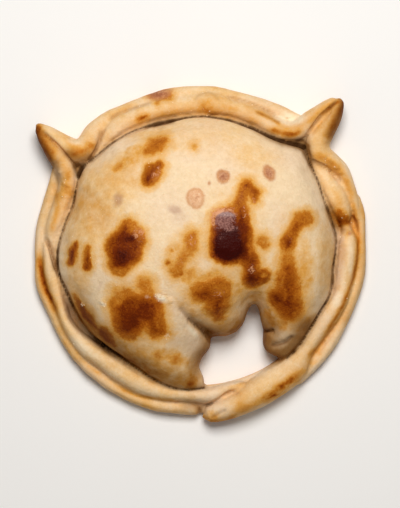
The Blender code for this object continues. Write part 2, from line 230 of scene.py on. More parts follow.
def skin_points(edge, lines):
    """Points and triangles of the belly's skin, and which of them are its edge and its folds."""
    points = list(edge)
    count = len(edge)
    constraints = [(i, (i + 1) % count) for i in range(count)]
    fold_at = []
    for line in lines:
        start = len(points)
        points += [Vector(row) for row in smooth_line(line, EDGE_GRAIN)[1:]]
        fold_at.append(list(range(start, len(points))))
        constraints += [(i, i + 1) for i in range(start, len(points) - 1)]
    for inset in BELLY_INSETS:
        for k in range(count):
            place = edge[k] + inward(edge, k) * inset
            if min((place - other).length for other in edge) > inset * INSET_KEEP:
                points.append(place)
    fixed = np.array([tuple(p) for p in points])
    low, high = fixed.min(axis=0), fixed.max(axis=0)
    row_gap = BELLY_GRAIN * math.sqrt(3) / 2
    for j in range(int((high[1] - low[1]) / row_gap) + 1):
        for i in range(int((high[0] - low[0]) / BELLY_GRAIN) + 1):
            x = low[0] + (i + 0.5 * (j % 2)) * BELLY_GRAIN
            y = low[1] + j * row_gap
            if np.hypot(fixed[:, 0] - x, fixed[:, 1] - y).min() > LATTICE_CLEARANCE:
                points.append(Vector((x, y)))
    whole = delaunay_2d_cdt(points, constraints, [list(range(count))], 1, SAME_POINT)
    placed, faces, origins = whole[0], whole[2], whole[3]
    used = sorted({i for face in faces for i in face})
    number = {old: new for new, old in enumerate(used)}
    index = {source: number[i] for i in used for source in origins[i]}
    faces = [[number[i] for i in face] for face in faces]
    fold_at = [[index[i] for i in line] for line in fold_at]
    return np.array([tuple(placed[i]) for i in used]), faces, [index[i] for i in range(count)], fold_at


def blow_up(points, faces, edge_at, held):
    """Height of a film that is pinned along the edge and blown up from below."""
    pairs = {(f[i], f[i - 1]) for f in faces for i in range(len(f))}
    pairs |= {(b, a) for a, b in pairs}
    ends = np.array(sorted(pairs))
    count = len(points)
    pull = 1.0 / ((points[ends[:, 0]] - points[ends[:, 1]]) ** 2).sum(axis=1)
    whole_pull = np.bincount(ends[:, 0], weights=pull, minlength=count)
    rise = np.zeros(count)
    where = np.array(sorted(held), int)
    value = np.array([held[i] for i in where])
    for _ in range(FILM_STEPS):
        pulled = np.bincount(ends[:, 0], weights=pull * rise[ends[:, 1]], minlength=count)
        rise = (pulled + 1.0) / whole_pull
        rise[edge_at] = 0.0
        rise[where] = value
    return rise


def add_belly(bm):
    """The belly: blown-up skin on a straight side, over a flat foot that is drawn in a little."""
    at_rim = round_the_rim(BELLY_AT_RIM, EDGE_GRAIN)
    at_gap = smooth_line([tuple(at_rim[-1])] + BELLY_AT_GAP + [tuple(at_rim[0])], EDGE_GRAIN)
    edge = [Vector(row) for row in at_rim] + [Vector(row) for row in at_gap[1:-1]]
    points, faces, edge_at, fold_at = skin_points(edge, [line for line, _ in FOLDS])
    free = blow_up(points, faces, edge_at, {})
    held = {}
    for (_, kept), line in zip(FOLDS, fold_at):
        for k, i in enumerate(line):
            share = kept + (1.0 - kept) * (k / (len(line) - 1)) ** FOLD_EASE_POWER
            if share < FOLD_ENDS_AT:
                held[i] = free[i] * share ** (1 / BELLY_ROUNDNESS)
    rise = blow_up(points, faces, edge_at, held)
    skin = BELLY_WALL + (BELLY_HEIGHT - BELLY_WALL) * (rise / rise.max()) ** BELLY_ROUNDNESS
    top = [bm.verts.new((x * MM, y * MM, z * MM)) for (x, y), z in zip(points, skin)]
    for face in faces:
        bm.faces.new([top[i] for i in face])
    upper = [top[i] for i in edge_at]
    for height, inset in ((FOOT_STEP, 0.0), (-SINK, BELLY_FOOT_INSET)):
        lower = []
        for k in range(len(edge)):
            place = edge[k] + inward(edge, k) * inset
            lower.append(bm.verts.new((place.x * MM, place.y * MM, height * MM)))
        for k in range(len(edge)):
            n = (k + 1) % len(edge)
            bm.faces.new((upper[k], upper[n], lower[n], lower[k]))
        upper = lower
    bm.faces.new(upper)


# ---------------------------------------------------------------- the crust: its rolled rim
# The dough's edge is rolled up tight and pressed down on a thin brim, so the rim is made of
# rolls that lie side by side, two of them pinched out as horns and two crossing at the near side.
INNER_ROLL = 9.6
OUTER_ROLL = 6.6
OUTER_RIDGE = 5.8
HORN_TOP = 12.0
ROLL_SIDES = 18
ROLL_GAP = 1.2
ROLL_SQUARENESS = 2.3
ROLL_TIP = 0.8
BRIM = (43.6, 4.2, 4.2)
SEAM_HALF_WIDTH = 1.5
SEAM_TOP = 7.2
SEAM_LOW_TOP = 3.4
SEAM_LOW_BEARINGS = (201, 226)
# bearing, radius, half width, top and, off the table, the underside's height
LEFT_CURL_AND_OUTER_ROLL = [
    (141.7, 62.0, 1.2, 10.0, 4.4), (141.4, 58.6, 1.9, 11.0, 2.4), (141.0, 54.6, 2.4, 11.2, 0.4),
    (141.1, 51.0, 3.1, 11.2), (140.8, 48.0, 3.9, 11.4), (138.6, 46.4, 3.9, 11.0),
    (134.8, 47.0, 3.4, 10.2), (130.6, 48.6, 2.9, 8.8), (126, 49.1, 2.3, 7.4),
    (118, 48.7, 2.1, OUTER_ROLL), (90, 48.7, 2.1, OUTER_ROLL), (64, 48.7, 2.1, OUTER_ROLL),
    (54.5, 50.3, 1.5, 5.8), (51.3, 51.4, 1.0, 4.6),
]
LEFT_HORN_STRAND = [
    (142.5, 61.3, 1.2, 9.8, 4.2), (144, 57.6, 1.9, 11.4, 2.4), (145.4, 53.2, 2.5, 11.8, 0.0),
    (147.2, 48.4, 3.0, 11.4), (151, 45.0, 3.0, 10.4), (160, 44.0, 3.1, 9.4),
    (170, 44.6, 2.8, 8.4), (179.5, 44.7, 1.2, 5.6),
]
TOP_ROLL = [
    (138, 43.8, 1.4, 6.6), (131.5, 44.4, 2.4, 8.0), (124.5, 45.3, 3.1, 9.2),
    (115, 45.2, 3.4, INNER_ROLL), (92, 44.9, 3.4, INNER_ROLL), (86, 45.4, 3.8, 10.8),
    (80, 45.0, 3.4, INNER_ROLL), (66, 44.3, 3.3, INNER_ROLL), (58.5, 44.2, 3.4, 10.0),
    (53.4, 45.2, 3.5, 10.4), (51.2, 47.8, 3.2, 11.0), (50.4, 52.2, 2.7, HORN_TOP, 0.0),
    (49.6, 57.0, 1.9, HORN_TOP, 2.2), (48.4, 61.1, 1.5, 11.0, 4.4),
]
RIGHT_HORN_STRAND = [
    (47.6, 62.0, 1.5, 11.0, 4.4), (46.2, 58.8, 2.2, HORN_TOP, 2.0), (45.2, 55.4, 2.7, HORN_TOP, 0.0),
    (44.4, 51.6, 3.4, 11.8), (43, 47.9, 4.1, 11.4), (39.5, 46.9, 3.9, 11.0),
    (35, 48.3, 2.9, 10.4), (31, 49.4, 2.5, 9.5), (24, 49.3, 1.9, 8.3),
    (16.5, 48.9, 1.5, 7.2), (12.5, 48.9, 1.1, 6.2),
]
RIGHT_FLAP = [
    (38, 43.4, 1.6, 7.8), (31, 44.2, 3.1, 9.2), (25, 44.4, 3.7, 9.8),
    (19.5, 44.5, 3.5, 10.0), (15, 44.5, 2.9, 9.4), (11.4, 44.3, 1.7, 7.4),
]
RIGHT_STRAND = [
    (11.6, 44.7, 1.6, 6.4), (6.5, 44.6, 2.9, 8.6), (0.5, 44.3, 3.6, INNER_ROLL),
    (-6, 43.8, 3.6, INNER_ROLL), (-17, 43.9, 3.1, INNER_ROLL), (-24, 43.1, 3.2, INNER_ROLL),
    (-30, 42.6, 3.1, INNER_ROLL), (-37, 42.6, 2.9, 9.4), (-42.7, 43.0, 3.2, 9.4),
    (-50, 44.1, 4.4, 9.8), (-61.5, 44.4, 4.6, 10.8), (-69, 45.4, 4.3, 11.0),
    (-76, 46.6, 3.8, 10.7), (-82, 47.6, 3.3, 9.8), (-86.7, 48.6, 2.5, 8.0),
]
RIGHT_RIDGE = [
    (20, 50.2, 1.2, 5.0), (12.8, 49.6, 1.5, OUTER_RIDGE), (4, 48.9, 1.4, OUTER_RIDGE),
    (-9, 48.7, 1.6, OUTER_RIDGE), (-20, 47.9, 1.6, OUTER_RIDGE), (-33, 47.6, 1.7, OUTER_RIDGE),
    (-41, 47.8, 1.9, OUTER_RIDGE), (-47, 47.9, 1.7, 5.4), (-52.5, 47.8, 1.6, 5.0),
]
LEFT_RIDGE = [
    (148, 50.1, 1.5, 4.8), (153, 48.7, 1.9, 5.4), (162, 47.9, 2.0, 5.6), (172, 48.1, 1.8, 5.6),
    (180, 48.5, 1.3, OUTER_RIDGE), (190, 48.7, 1.4, OUTER_RIDGE), (203, 47.8, 1.4, OUTER_RIDGE),
    (220, 48.0, 1.5, OUTER_RIDGE), (229, 47.7, 1.8, OUTER_RIDGE), (248, 47.5, 1.8, OUTER_RIDGE),
    (256, 47.1, 2.0, OUTER_RIDGE), (263, 46.5, 2.0, OUTER_RIDGE), (269, 46.4, 1.8, 5.4),
]
LEFT_STRAND = [
    (175.5, 46.8, 0.9, 6.6), (179.2, 45.8, 1.7, 8.0), (184, 45.0, 2.3, 9.0),
    (191, 44.4, 2.8, INNER_ROLL), (199, 44.5, 2.4, INNER_ROLL), (206.5, 45.0, 2.1, INNER_ROLL),
    (213, 44.7, 2.3, INNER_ROLL), (220.5, 44.0, 3.0, INNER_ROLL), (227, 43.0, 3.1, INNER_ROLL),
    (236, 42.5, 3.6, INNER_ROLL), (246, 42.7, 3.5, INNER_ROLL), (255.5, 42.7, 2.5, 9.2),
    (266, 42.3, 2.1, 9.0), (275, 42.5, 2.2, 9.0), (283, 41.1, 1.7, 8.5),
    (288, 41.9, 1.6, 7.8), (291.5, 43.6, 1.4, 6.6),
]


def bent(value, squareness):
    """A sine or cosine pushed out towards a superellipse."""
    return math.copysign(abs(value) ** (2 / squareness), value)


def add_roll(bm, stations, closed=False):
    """Sweep a superellipse section round the rim. An open roll's ends close in on a point."""
    rows = round_the_rim([tuple(s) + (-SINK,) * (5 - len(s)) for s in stations], ROLL_GAP)
    if closed:
        rows = rows[:-1]
    count = len(rows)
    rings = []
    for i, (x, y, half_width, top, bottom) in enumerate(rows):
        before = rows[(i - 1) % count if closed else max(i - 1, 0)]
        after = rows[(i + 1) % count if closed else min(i + 1, count - 1)]
        along = Vector((after[0] - before[0], after[1] - before[1])).normalized()
        across = Vector((along.y, -along.x))
        ring = []
        for k in range(ROLL_SIDES):
            angle = 2 * math.pi * k / ROLL_SIDES
            place = Vector((x, y)) + across * (half_width * bent(math.cos(angle), ROLL_SQUARENESS))
            rise = (top - bottom) / 2 * bent(math.sin(angle), ROLL_SQUARENESS)
            ring.append(bm.verts.new((place.x * MM, place.y * MM, ((top + bottom) / 2 + rise) * MM)))
        rings.append(ring)
    pairs = list(zip(rings, rings[1:]))
    if closed:
        pairs.append((rings[-1], rings[0]))
    for one, two in pairs:
        for k in range(ROLL_SIDES):
            n = (k + 1) % ROLL_SIDES
            bm.faces.new((one[k], two[k], two[n], one[n]))
    if not closed:
        for ring, row, inner in ((rings[0], rows[0], rows[1]), (rings[-1], rows[-1], rows[-2])):
            x, y, half_width, top, bottom = row
            outward = Vector((x - inner[0], y - inner[1])).normalized() * (half_width * ROLL_TIP)
            tip = bm.verts.new(((x + outward.x) * MM, (y + outward.y) * MM,
                                (top + max(bottom, 0.0)) / 2 * MM))
            for k in range(ROLL_SIDES):
                bm.faces.new((ring[k], ring[(k + 1) % ROLL_SIDES], tip))


# ---------------------------------------------------------------- the crust: joined and risen
# Belly and rolls are one piece of dough, so they are joined into one skin, softened, given the
# lumps, blisters and creases of risen dough, and cut flat where the crust lies on its tray.
JOIN_VOXEL = 0.5
SMOOTH_TURNS = 5
TRAY_WIDTH = 140
TRAY_DEPTH = 20
# depth, half width, and the line of x and y
CREASES = [
    # between the rolls of the horned side, and the arch over the knuckle
    (0.45, 0.5, [(-27.5, 40.2), (-24.6, 42.1), (-19.6, 43.9), (-14.3, 45.6)]),
    (0.45, 0.5, [(7.6, 47.5), (13.8, 45.9), (17.6, 44.4), (20.5, 42.9), (24.2, 40.7)]),
    (0.20, 0.8, [(-1.6, 45.2), (-0.6, 47.4), (2.4, 48.5), (5.0, 47.4), (6.2, 45.4)]),
    (0.40, 0.7, [(16.6, 42.9), (20.4, 41.2), (24.5, 39.2)]),
    # the horns' slits
    (0.70, 0.4, [(-47.4, 37.0), (-44.0, 33.8), (-39.8, 29.6), (-37.2, 26.4)]),
    (0.60, 0.4, [(41.0, 46.0), (38.6, 43.2), (36.3, 41.2), (33.4, 37.4), (31.2, 34.0)]),
    # the curl's inner side and the lower edge of the right horn's strand
    (0.60, 0.5, [(-34.1, 26.4), (-31.6, 29.9), (-29.8, 33.9), (-29.2, 36.4), (-27.9, 37.8)]),
    (0.60, 0.4, [(33.0, 28.2), (37.4, 26.0), (40.4, 23.8), (42.8, 21.0)]),
    # where the left strand starts beside the horn's
    (0.70, 0.5, [(-46.4, 4.6), (-44.8, 1.9), (-44.0, -1.0), (-43.1, -4.2), (-41.6, -7.4)]),
    # the crossing ends
    (0.40, 0.5, [(0.2, -46.4), (5.2, -44.0), (9.4, -41.4), (12.2, -41.9)]),
    (0.40, 0.6, [(3.3, -49.3), (5.8, -47.8), (8.1, -46.6)]),
    # the fold between two lobes, and the slit and the smile on the right lobe
    (0.60, 0.8, [(4.4, -26.4), (2.0, -23.6), (0.4, -22.2), (-1.0, -21.2)]),
    (0.60, 0.8, [(4.4, -26.4), (2.0, -23.6), (0.4, -22.2), (-1.0, -21.2), (-3.4, -19.0)]),
    (0.50, 0.8, [(4.4, -26.4), (2.0, -23.6), (0.4, -22.2), (-1.0, -21.2), (-3.4, -19.0), (-6.4, -15.2)]),
    (1.30, 0.5, [(18.4, -23.0), (20.2, -23.1), (22.4, -22.9)]),
    (0.70, 0.8, [(21.0, -27.2), (23.4, -27.2), (26.0, -26.2), (28.0, -24.2)]),
    # wrinkles where the belly meets the rim
    (0.25, 0.5, [(-14.4, 38.0), (-11.4, 38.9), (-8.0, 39.3)]),
    (0.20, 0.4, [(-12.8, 37.2), (-10.0, 37.9)]),
]
# and the crevice all round between belly and rim
CREVICE_DEPTH = 0.5
CREVICE_HALF_WIDTH = 0.5
# x, y, half sizes, tilt in degrees, and height of a blister or puff
PUFFS = [
    (9.2, 5.6, 5.4, 7.8, 0, 0.90),
    (-21.9, 1.8, 6.0, 8.0, -8, 0.50),
    (-18.2, -18.2, 7.5, 7.0, 0, 0.35),
    (-13.5, 23.9, 4.4, 3.0, 45, 0.45),
    (17.0, -5.9, 4.0, 4.0, 0, 0.40),
    (14.5, 18.8, 2.6, 4.4, -10, 0.35),
    (4.3, -12.4, 6.0, 5.5, 0, 0.30),
    (26.6, -11.0, 4.0, 7.5, 0, 0.30),
    (25.0, -23.6, 2.6, 1.7, 15, 0.35),
    (-1.1, 16.3, 2.6, 2.6, 0, 0.25),
]
# x, y and radius of the small pimples on the rim and belly
PIMPLES = [
    (37.4, 29.2, 0.8), (39.0, 28.0, 0.7), (41.0, 26.0, 0.7), (42.2, 24.4, 0.6),
    (-8.6, -13.8, 0.9), (-11.0, -12.8, 1.1), (-28.8, -14.3, 0.8), (-34.9, -15.3, 0.5),
    (-40.2, 21.0, 0.6), (-41.0, 17.4, 0.6), (-41.6, 24.6, 0.6),
]
PIMPLE_HEIGHT = 0.35
# size and height of the lumps of hand-rolled dough, coarse to fine
LUMPS = [(11.0, 0.45), (4.5, 0.16), (1.7, 0.05)]
NOISE_SEED = 41.0
# how near the relief may come to the sides of the whole before it is eased back
LIMIT_MARGIN = 0.4


def lumps(places, size, seed=0.0):
    """A smooth random number from -1 to 1 at each place, that changes over about that size."""
    shift = Vector((NOISE_SEED + seed, seed * 1.7, -seed))
    return np.array([noise.noise(Vector(place) / size + shift) for place in places])


def ease(value, low, high):
    """0 below low, 1 above high, and smooth in between."""
    t = np.clip((value - low) / (high - low), 0.0, 1.0)
    return t * t * (3 - 2 * t)


def near_line(flat, line):
    """Distance of each place from a line of x and y, and how far along it that is, 0 to 1."""
    line = smooth_line(line, 1.5)
    nearest = np.full(len(flat), np.inf)
    along = np.zeros(len(flat))
    whole = sum(straight_length(a, b) for a, b in zip(line, line[1:]))
    run = 0.0
    for a, b in zip(line, line[1:]):
        step = b - a
        length = straight_length(a, b)
        t = np.clip((flat - a) @ step / length ** 2, 0.0, 1.0)
        distance = np.hypot(*(flat - a - t[:, None] * step).T)
        closer = distance < nearest
        nearest[closer] = distance[closer]
        along[closer] = (run + t[closer] * length) / whole
        run += length
    return nearest, along


def in_oval(flat, x, y, half_x, half_y, tilt):
    """1 at the oval's middle, 0 on its edge, and less outside."""
    turn = math.radians(tilt)
    dx, dy = flat[:, 0] - x, flat[:, 1] - y
    u = (dx * math.cos(turn) + dy * math.sin(turn)) / half_x
    v = (dy * math.cos(turn) - dx * math.sin(turn)) / half_y
    return 1.0 - np.hypot(u, v)


def places_and_normals(mesh):
    """Every point's place in millimetres and its normal."""
    count = len(mesh.vertices)
    places, normals = np.empty(count * 3), np.empty(count * 3)
    mesh.vertices.foreach_get("co", places)
    mesh.vertex_normals.foreach_get("vector", normals)
    return places.reshape(-1, 3) / MM, normals.reshape(-1, 3)


def bake_modifiers(obj):
    """Turn what the object's modifiers show into its own plain mesh."""
    shown = obj.evaluated_get(bpy.context.evaluated_depsgraph_get())
    mesh = bpy.data.meshes.new_from_object(shown)
    old = obj.data
    obj.modifiers.clear()
    obj.data = mesh
    bpy.data.meshes.remove(old)


def keep_largest(obj):
    """Drop any small closed shell that the join left inside."""
    bm = bmesh.new()
    bm.from_mesh(obj.data)
    islands = []
    unseen = set(bm.verts)
    while unseen:
        reached = [unseen.pop()]
        for vert in reached:
            for edge in vert.link_edges:
                other = edge.other_vert(vert)
                if other in unseen:
                    unseen.discard(other)
                    reached.append(other)
        islands.append(reached)
    islands.sort(key=len)
    bmesh.ops.delete(bm, geom=[v for island in islands[:-1] for v in island], context="VERTS")
    bm.to_mesh(obj.data)
    bm.free()


def held_below(value, limit):
    """Ease what comes near the limit back below it."""
    start = limit - LIMIT_MARGIN
    return np.where(value > start, limit - LIMIT_MARGIN * np.exp((start - value) / LIMIT_MARGIN), value)


def raise_relief(mesh):
    """Lumps, puffs, pimples and creases, all along the surface's own normal."""
    places, normals = places_and_normals(mesh)
    flat = places[:, :2]
    up = ease(normals[:, 2], -0.1, 0.35)
    height = np.zeros(len(places))
    for k, (size, tall) in enumerate(LUMPS):
        height += lumps(places, size, 3.0 + k) * tall
    wander = np.stack((lumps(places, 3.0, 11.0), lumps(places, 3.0, 12.0)), axis=1) * 0.8
    for x, y, half_x, half_y, tilt, tall in PUFFS:
        inside = in_oval(flat + wander, x, y, half_x, half_y, tilt)
        height += up * tall * ease(inside, -0.15, 0.45)
    for x, y, radius in PIMPLES:
        height += up * PIMPLE_HEIGHT * ease(in_oval(flat, x, y, radius, radius, 0), -0.4, 0.6)
    distance, along = near_line(flat, round_the_rim(BELLY_AT_RIM, ROLL_GAP))
    height -= ease(normals[:, 2], -0.6, 0.0) * CREVICE_DEPTH * np.exp(-(distance / CREVICE_HALF_WIDTH) ** 2)
    for deep, half_width, line in CREASES:
        distance, along = near_line(flat, line)
        fade = ease(along, 0.0, 0.12) * ease(-along, -1.0, -0.88)
        height -= up * deep * fade * np.exp(-(distance / half_width) ** 2)
    height *= ease(places[:, 2], 0.3, 2.5)
    moved = places + normals * height[:, None]
    low, high = np.array(cad_box) / MM
    for side in (0, 1):
        moved[:, side] = -held_below(-moved[:, side], -low[side])
    for side in (0, 1, 2):
        moved[:, side] = held_below(moved[:, side], high[side])
    mesh.vertices.foreach_set("co", (moved * MM).ravel())
    mesh.update()


dough = bmesh.new()
add_belly(dough)
add_roll(dough, [(0, *BRIM), (360, *BRIM)], closed=True)
low_from, low_to = SEAM_LOW_BEARINGS
add_roll(dough, [(bearing, radius, SEAM_HALF_WIDTH, SEAM_LOW_TOP if low_from < bearing < low_to else SEAM_TOP)
                 for bearing, radius in BELLY_AT_RIM])
for roll in (LEFT_CURL_AND_OUTER_ROLL, LEFT_HORN_STRAND, TOP_ROLL, RIGHT_HORN_STRAND, RIGHT_FLAP,
             RIGHT_STRAND, RIGHT_RIDGE, LEFT_RIDGE, LEFT_STRAND):
    add_roll(dough, roll)
bmesh.ops.recalc_face_normals(dough, faces=dough.faces)
crust = add_mesh("crust", dough)
join = crust.modifiers.new("join", "REMESH")
join.mode = "VOXEL"
join.voxel_size = JOIN_VOXEL * MM
soften = crust.modifiers.new("soften", "SMOOTH")
soften.factor = 0.5
soften.iterations = SMOOTH_TURNS
bake_modifiers(crust)
keep_largest(crust)
raise_relief(crust.data)

tray_block = bmesh.new()
bmesh.ops.create_cube(tray_block, size=1.0)
bmesh.ops.scale(tray_block, vec=(TRAY_WIDTH * MM, TRAY_WIDTH * MM, TRAY_DEPTH * MM), verts=tray_block.verts)
bmesh.ops.translate(tray_block, vec=(0.0, 0.0, -TRAY_DEPTH / 2 * MM), verts=tray_block.verts)
tray = add_mesh("tray_block", tray_block)
flatten = crust.modifiers.new("flatten", "BOOLEAN")
flatten.operation = "DIFFERENCE"
flatten.solver = "EXACT"
flatten.object = tray
bake_modifiers(crust)
bpy.data.objects.remove(tray, do_unlink=True)
crust.data.shade_smooth()
crust.data.set_sharp_from_angle(angle=math.radians(60))
for face in crust.data.polygons:
    if face.normal.z < -0.99:
        face.use_smooth = False

# ---------------------------------------------------------------- the crust: browned by the oven, with painted shade and sheen
# Dough browns first where it blisters and where it is thin. How deep each point of the crust lies
# inside a mark, and how dark, golden, sooty and shiny it is there, is painted on the points.
# Painted shade in the folds, creases and crevice and on sides turned from the light, and a painted
# sheen with glints on the blisters, are painted on the points as well.
# A mark is its darkness, its shine, how softly it ends, and a run of round patches: x, y, radius.
MARKS = [
    # the big blister, its right side, its tail and its two-ended arm
    (0.90, 1.0, 1.0, [(7.8, 9.4, 4.4), (8.4, 2.2, 5.6)]),
    (0.88, 0.6, 1.0, [(12.2, 10.0, 2.0), (12.4, 5.0, 2.8), (12.2, 2.0, 3.2)]),
    (0.76, 0.5, 1.0, [(12.2, 13.0, 1.8), (12.8, 6.0, 2.6), (13.2, 0.6, 2.8), (15.4, -2.4, 2.2)]),
    (0.76, 0.7, 1.0, [(15.2, -2.0, 2.2), (15.3, -7.2, 2.8), (18.4, -6.6, 2.4)]),
    (0.58, 0.5, 1.1, [(11.2, 13.8, 1.7), (12.6, 17.0, 1.5), (13.8, 20.4, 1.4)]),
    (0.64, 0.4, 1.0, [(13.8, 20.6, 1.3), (16.2, 18.0, 1.4), (16.2, 16.0, 0.8)]),
    # the crooked mark and the drop-shaped one towards the right lobe
    (0.58, 0.4, 1.0, [(31.8, 10.6, 1.9), (29.8, 10.6, 1.7), (28.2, 7.8, 1.5), (25.9, 2.8, 2.1)]),
    (0.72, 0.2, 1.8, [(26.2, -1.0, 1.6), (26.2, -6.0, 3.2), (26.0, -11.0, 4.2), (27.0, -16.2, 3.8)]),
    (0.76, 0.2, 1.6, [(22.8, -12.6, 2.6), (25.4, -14.8, 3.4)]),
    # near the fold
    (0.68, 0.5, 1.7, [(0.2, -11.4, 3.0), (5.4, -10.8, 4.2), (5.0, -15.0, 3.8), (5.6, -18.4, 1.8)]),
    # the left lobe's large mark, and the small one that touches it
    (0.75, 0.2, 1.5, [(-21.4, -15.4, 5.0), (-20.6, -20.2, 5.2)]),
    (0.74, 0.2, 1.4, [(-21.0, -16.0, 4.4), (-15.4, -16.8, 5.0), (-12.6, -22.0, 3.0)]),
    (0.42, 0.2, 1.5, [(-16.2, -9.0, 1.8), (-15.0, -11.4, 1.4)]),
    # the left blister
    (0.78, 0.6, 1.0, [(-20.8, 7.2, 2.9), (-20.6, 4.4, 4.7), (-22.2, 1.4, 5.5), (-23.3, -2.6, 3.6)]),
    # towards the left horn
    (0.64, 0.6, 0.9, [(-11.8, 26.0, 1.3), (-13.6, 24.4, 2.3), (-15.2, 21.8, 2.0)]),
    (0.62, 0.2, 1.6, [(-10.9, 33.6, 1.4), (-13.0, 32.2, 2.2), (-15.4, 30.5, 1.3)]),
    # the speckled trail in the middle, and small ones
    (0.44, 0.4, 1.4, [(-2.4, 4.6, 1.8), (-2.6, 2.0, 1.4)]),
    (0.38, 0.3, 1.6, [(-3.6, 0.0, 1.1), (-5.4, -2.0, 1.2), (-6.8, -4.8, 1.6)]),
    (0.95, 0.0, 0.8, [(-9.1, -2.5, 0.4)]), (0.95, 0.0, 0.8, [(-7.2, -6.4, 0.2), (-5.2, -5.8, 0.4)]),
    (0.70, 0.0, 0.8, [(-8.3, 0.9, 0.1)]),
    (0.42, 0.3, 1.2, [(18.6, 4.2, 1.1), (19.2, 3.2, 1.0)]), (0.80, 0.0, 0.8, [(17.8, 3.3, 0.3), (18.6, 2.4, 0.0)]),
    (0.40, 0.0, 1.3, [(-1.5, 31.9, 0.2)]), (0.32, 0.0, 1.4, [(-23.4, 26.0, 0.6), (-25.0, 25.2, 0.3)]),
    # the streaks by the left wall
    (0.84, 0.2, 0.9, [(-36.6, 3.0, 0.5), (-37.6, 0.6, 1.1), (-38.1, -2.2, 1.0)]),
    (0.84, 0.2, 0.9, [(-33.0, 2.0, 0.3), (-33.2, -0.6, 0.9), (-33.3, -3.6, 1.3)]),
    (0.58, 0.0, 1.1, [(-37.2, -12.4, 0.2), (-35.4, -15.6, 0.9), (-33.4, -18.6, 1.0), (-31.0, -21.6, 0.5)]),
    (0.58, 0.0, 1.1, [(-28.8, -23.0, 1.1), (-27.0, -25.0, 1.2), (-25.2, -27.2, 0.3)]),
    (0.72, 0.0, 1.2, [(-2.8, -38.8, 0.3)]),
    # on the rim
    (0.52, 0.5, 1.2, [(-14.4, 48.0, 0.9), (-11.6, 47.7, 1.4), (-9.2, 47.5, 0.9)]),
    (0.36, 0.1, 1.0, [(-12.6, 45.2, 0.2)]), (0.80, 0.2, 0.8, [(-18.3, 40.3, 0.0), (-17.2, 40.7, 0.2), (-16.2, 40.9, 0.0)]),
    (0.66, 0.1, 1.4, [(41.8, 11.8, 1.5), (43.2, 10.4, 1.4)]), (0.96, 0.0, 0.9, [(42.4, 9.8, 1.0), (44.0, 10.0, 0.8)]),
    (0.85, 0.0, 1.0, [(45.0, 6.4, 0.2)]),
    (0.50, 0.0, 1.3, [(24.4, -39.6, 0.3), (27.6, -37.8, 0.1)]), (0.80, 0.0, 1.2, [(20.6, -43.0, 0.1), (22.8, -42.0, 0.3)]),
]
# darker and, below nought, lighter patches within the marks: x, y, half sizes, tilt, and by how much
SOOT = [
    (8.2, 1.6, 5.2, 4.6, 0, 0.24), (9.2, 5.4, 3.2, 3.6, 0, 0.12), (14.8, 3.0, 0.9, 5.4, 0, -0.12),
    (15.2, -8.0, 2.0, 1.6, 0, 0.12), (17.9, -9.0, 1.4, 0.9, 0, 0.10), (18.8, -6.4, 1.1, 1.0, 0, -0.34), (19.3, 4.2, 0.9, 0.8, 0, -0.24),
    (16.8, 17.8, 1.2, 1.8, 0, 0.14), (13.6, 20.8, 1.0, 1.4, 0, 0.12), (15.0, 15.0, 1.3, 1.4, 0, -0.24),
    (25.8, 3.4, 1.3, 2.2, 0, 0.20), (31.6, 10.6, 2.6, 1.6, 0, -0.04), (28.4, 8.0, 1.0, 1.8, 0, 0.10),
    (22.8, -13.6, 2.6, 2.2, 0, 0.14), (27.2, -15.6, 2.0, 4.4, 0, 0.08), (24.7, -8.0, 0.5, 2.4, -20, -0.14),
    (25.3, -12.0, 0.5, 2.4, 10, -0.12), (26.4, -1.0, 3.2, 2.6, 0, -0.26),
    (1.4, -12.6, 2.4, 1.5, -35, 0.16), (5.6, -16.2, 1.8, 2.2, 0, 0.16), (6.2, -10.4, 3.4, 2.0, 0, -0.18),
    (-1.8, -9.4, 3.0, 2.0, -30, -0.16), (-18.8, -20.8, 4.4, 3.4, 0, 0.08), (-16.2, -16.0, 1.8, 2.2, 0, 0.08),
    (-12.4, -23.0, 2.2, 1.3, 0, 0.04), (-25.2, -14.0, 1.8, 4.6, 0, -0.16), (-21.6, -11.4, 4.0, 1.6, 0, -0.20), (-24.2, -12.4, 2.6, 2.4, 0, -0.22),
    (-15.6, -23.0, 1.1, 2.2, 0, -0.30), (-23.2, -0.4, 2.6, 3.0, 0, 0.12), (-20.6, 4.2, 1.7, 0.9, 0, 0.14),
    (-19.8, 8.2, 2.0, 2.4, -20, -0.26), (-17.4, 6.0, 2.0, 2.8, 0, -0.16), (-23.4, -5.0, 3.4, 1.8, 0, -0.30), (-12.2, -19.0, 1.6, 3.2, 0, -0.14),
    (-15.2, 22.0, 1.3, 2.2, -20, 0.14), (-13.6, 25.4, 2.2, 1.1, 40, 0.06),
    (-38.2, -1.0, 0.8, 1.7, 0, 0.20), (-33.3, -1.2, 0.8, 1.0, 0, 0.14), (-33.0, -4.4, 1.1, 0.8, 0, 0.10),
    (-2.0, 5.2, 0.9, 0.6, 0, 0.16), (-3.0, 2.6, 0.5, 0.9, 0, 0.16), (-6.6, -3.4, 0.7, 0.5, 0, 0.16),
    (-11.6, 47.6, 1.6, 0.8, 0, 0.10),
]
# a painted sheen with painted glints on the blisters' tops, a greyish pearly reflection: x, y, half sizes,
# tilt, and how strong
PAINTED_SHEEN = [
    (6.6, 10.6, 4.4, 4.2, 0, 0.95), (9.4, 7.2, 2.6, 1.8, 0, 0.34), (6.4, 4.8, 1.4, 1.2, 0, 0.30),
    (-17.8, 6.0, 2.6, 2.8, 0, 0.48), (-12.8, 23.8, 1.5, 2.6, -35, 0.44), (15.4, -4.4, 1.8, 1.6, 0, 0.44),
    (5.6, -11.6, 2.0, 1.4, 0, 0.34), (26.4, 4.4, 1.0, 1.4, 0, 0.36), (15.6, 15.8, 1.3, 1.5, 0, 0.36),
    (13.4, 12.6, 1.4, 2.6, 10, 0.34), (-2.4, 3.8, 1.9, 2.6, 0, 0.36), (-6.0, -2.4, 1.6, 1.8, 0, 0.32),
    (24.7, -8.0, 0.7, 2.4, -20, 0.34), (-17.2, -19.8, 0.8, 0.8, 0, 0.34),
]
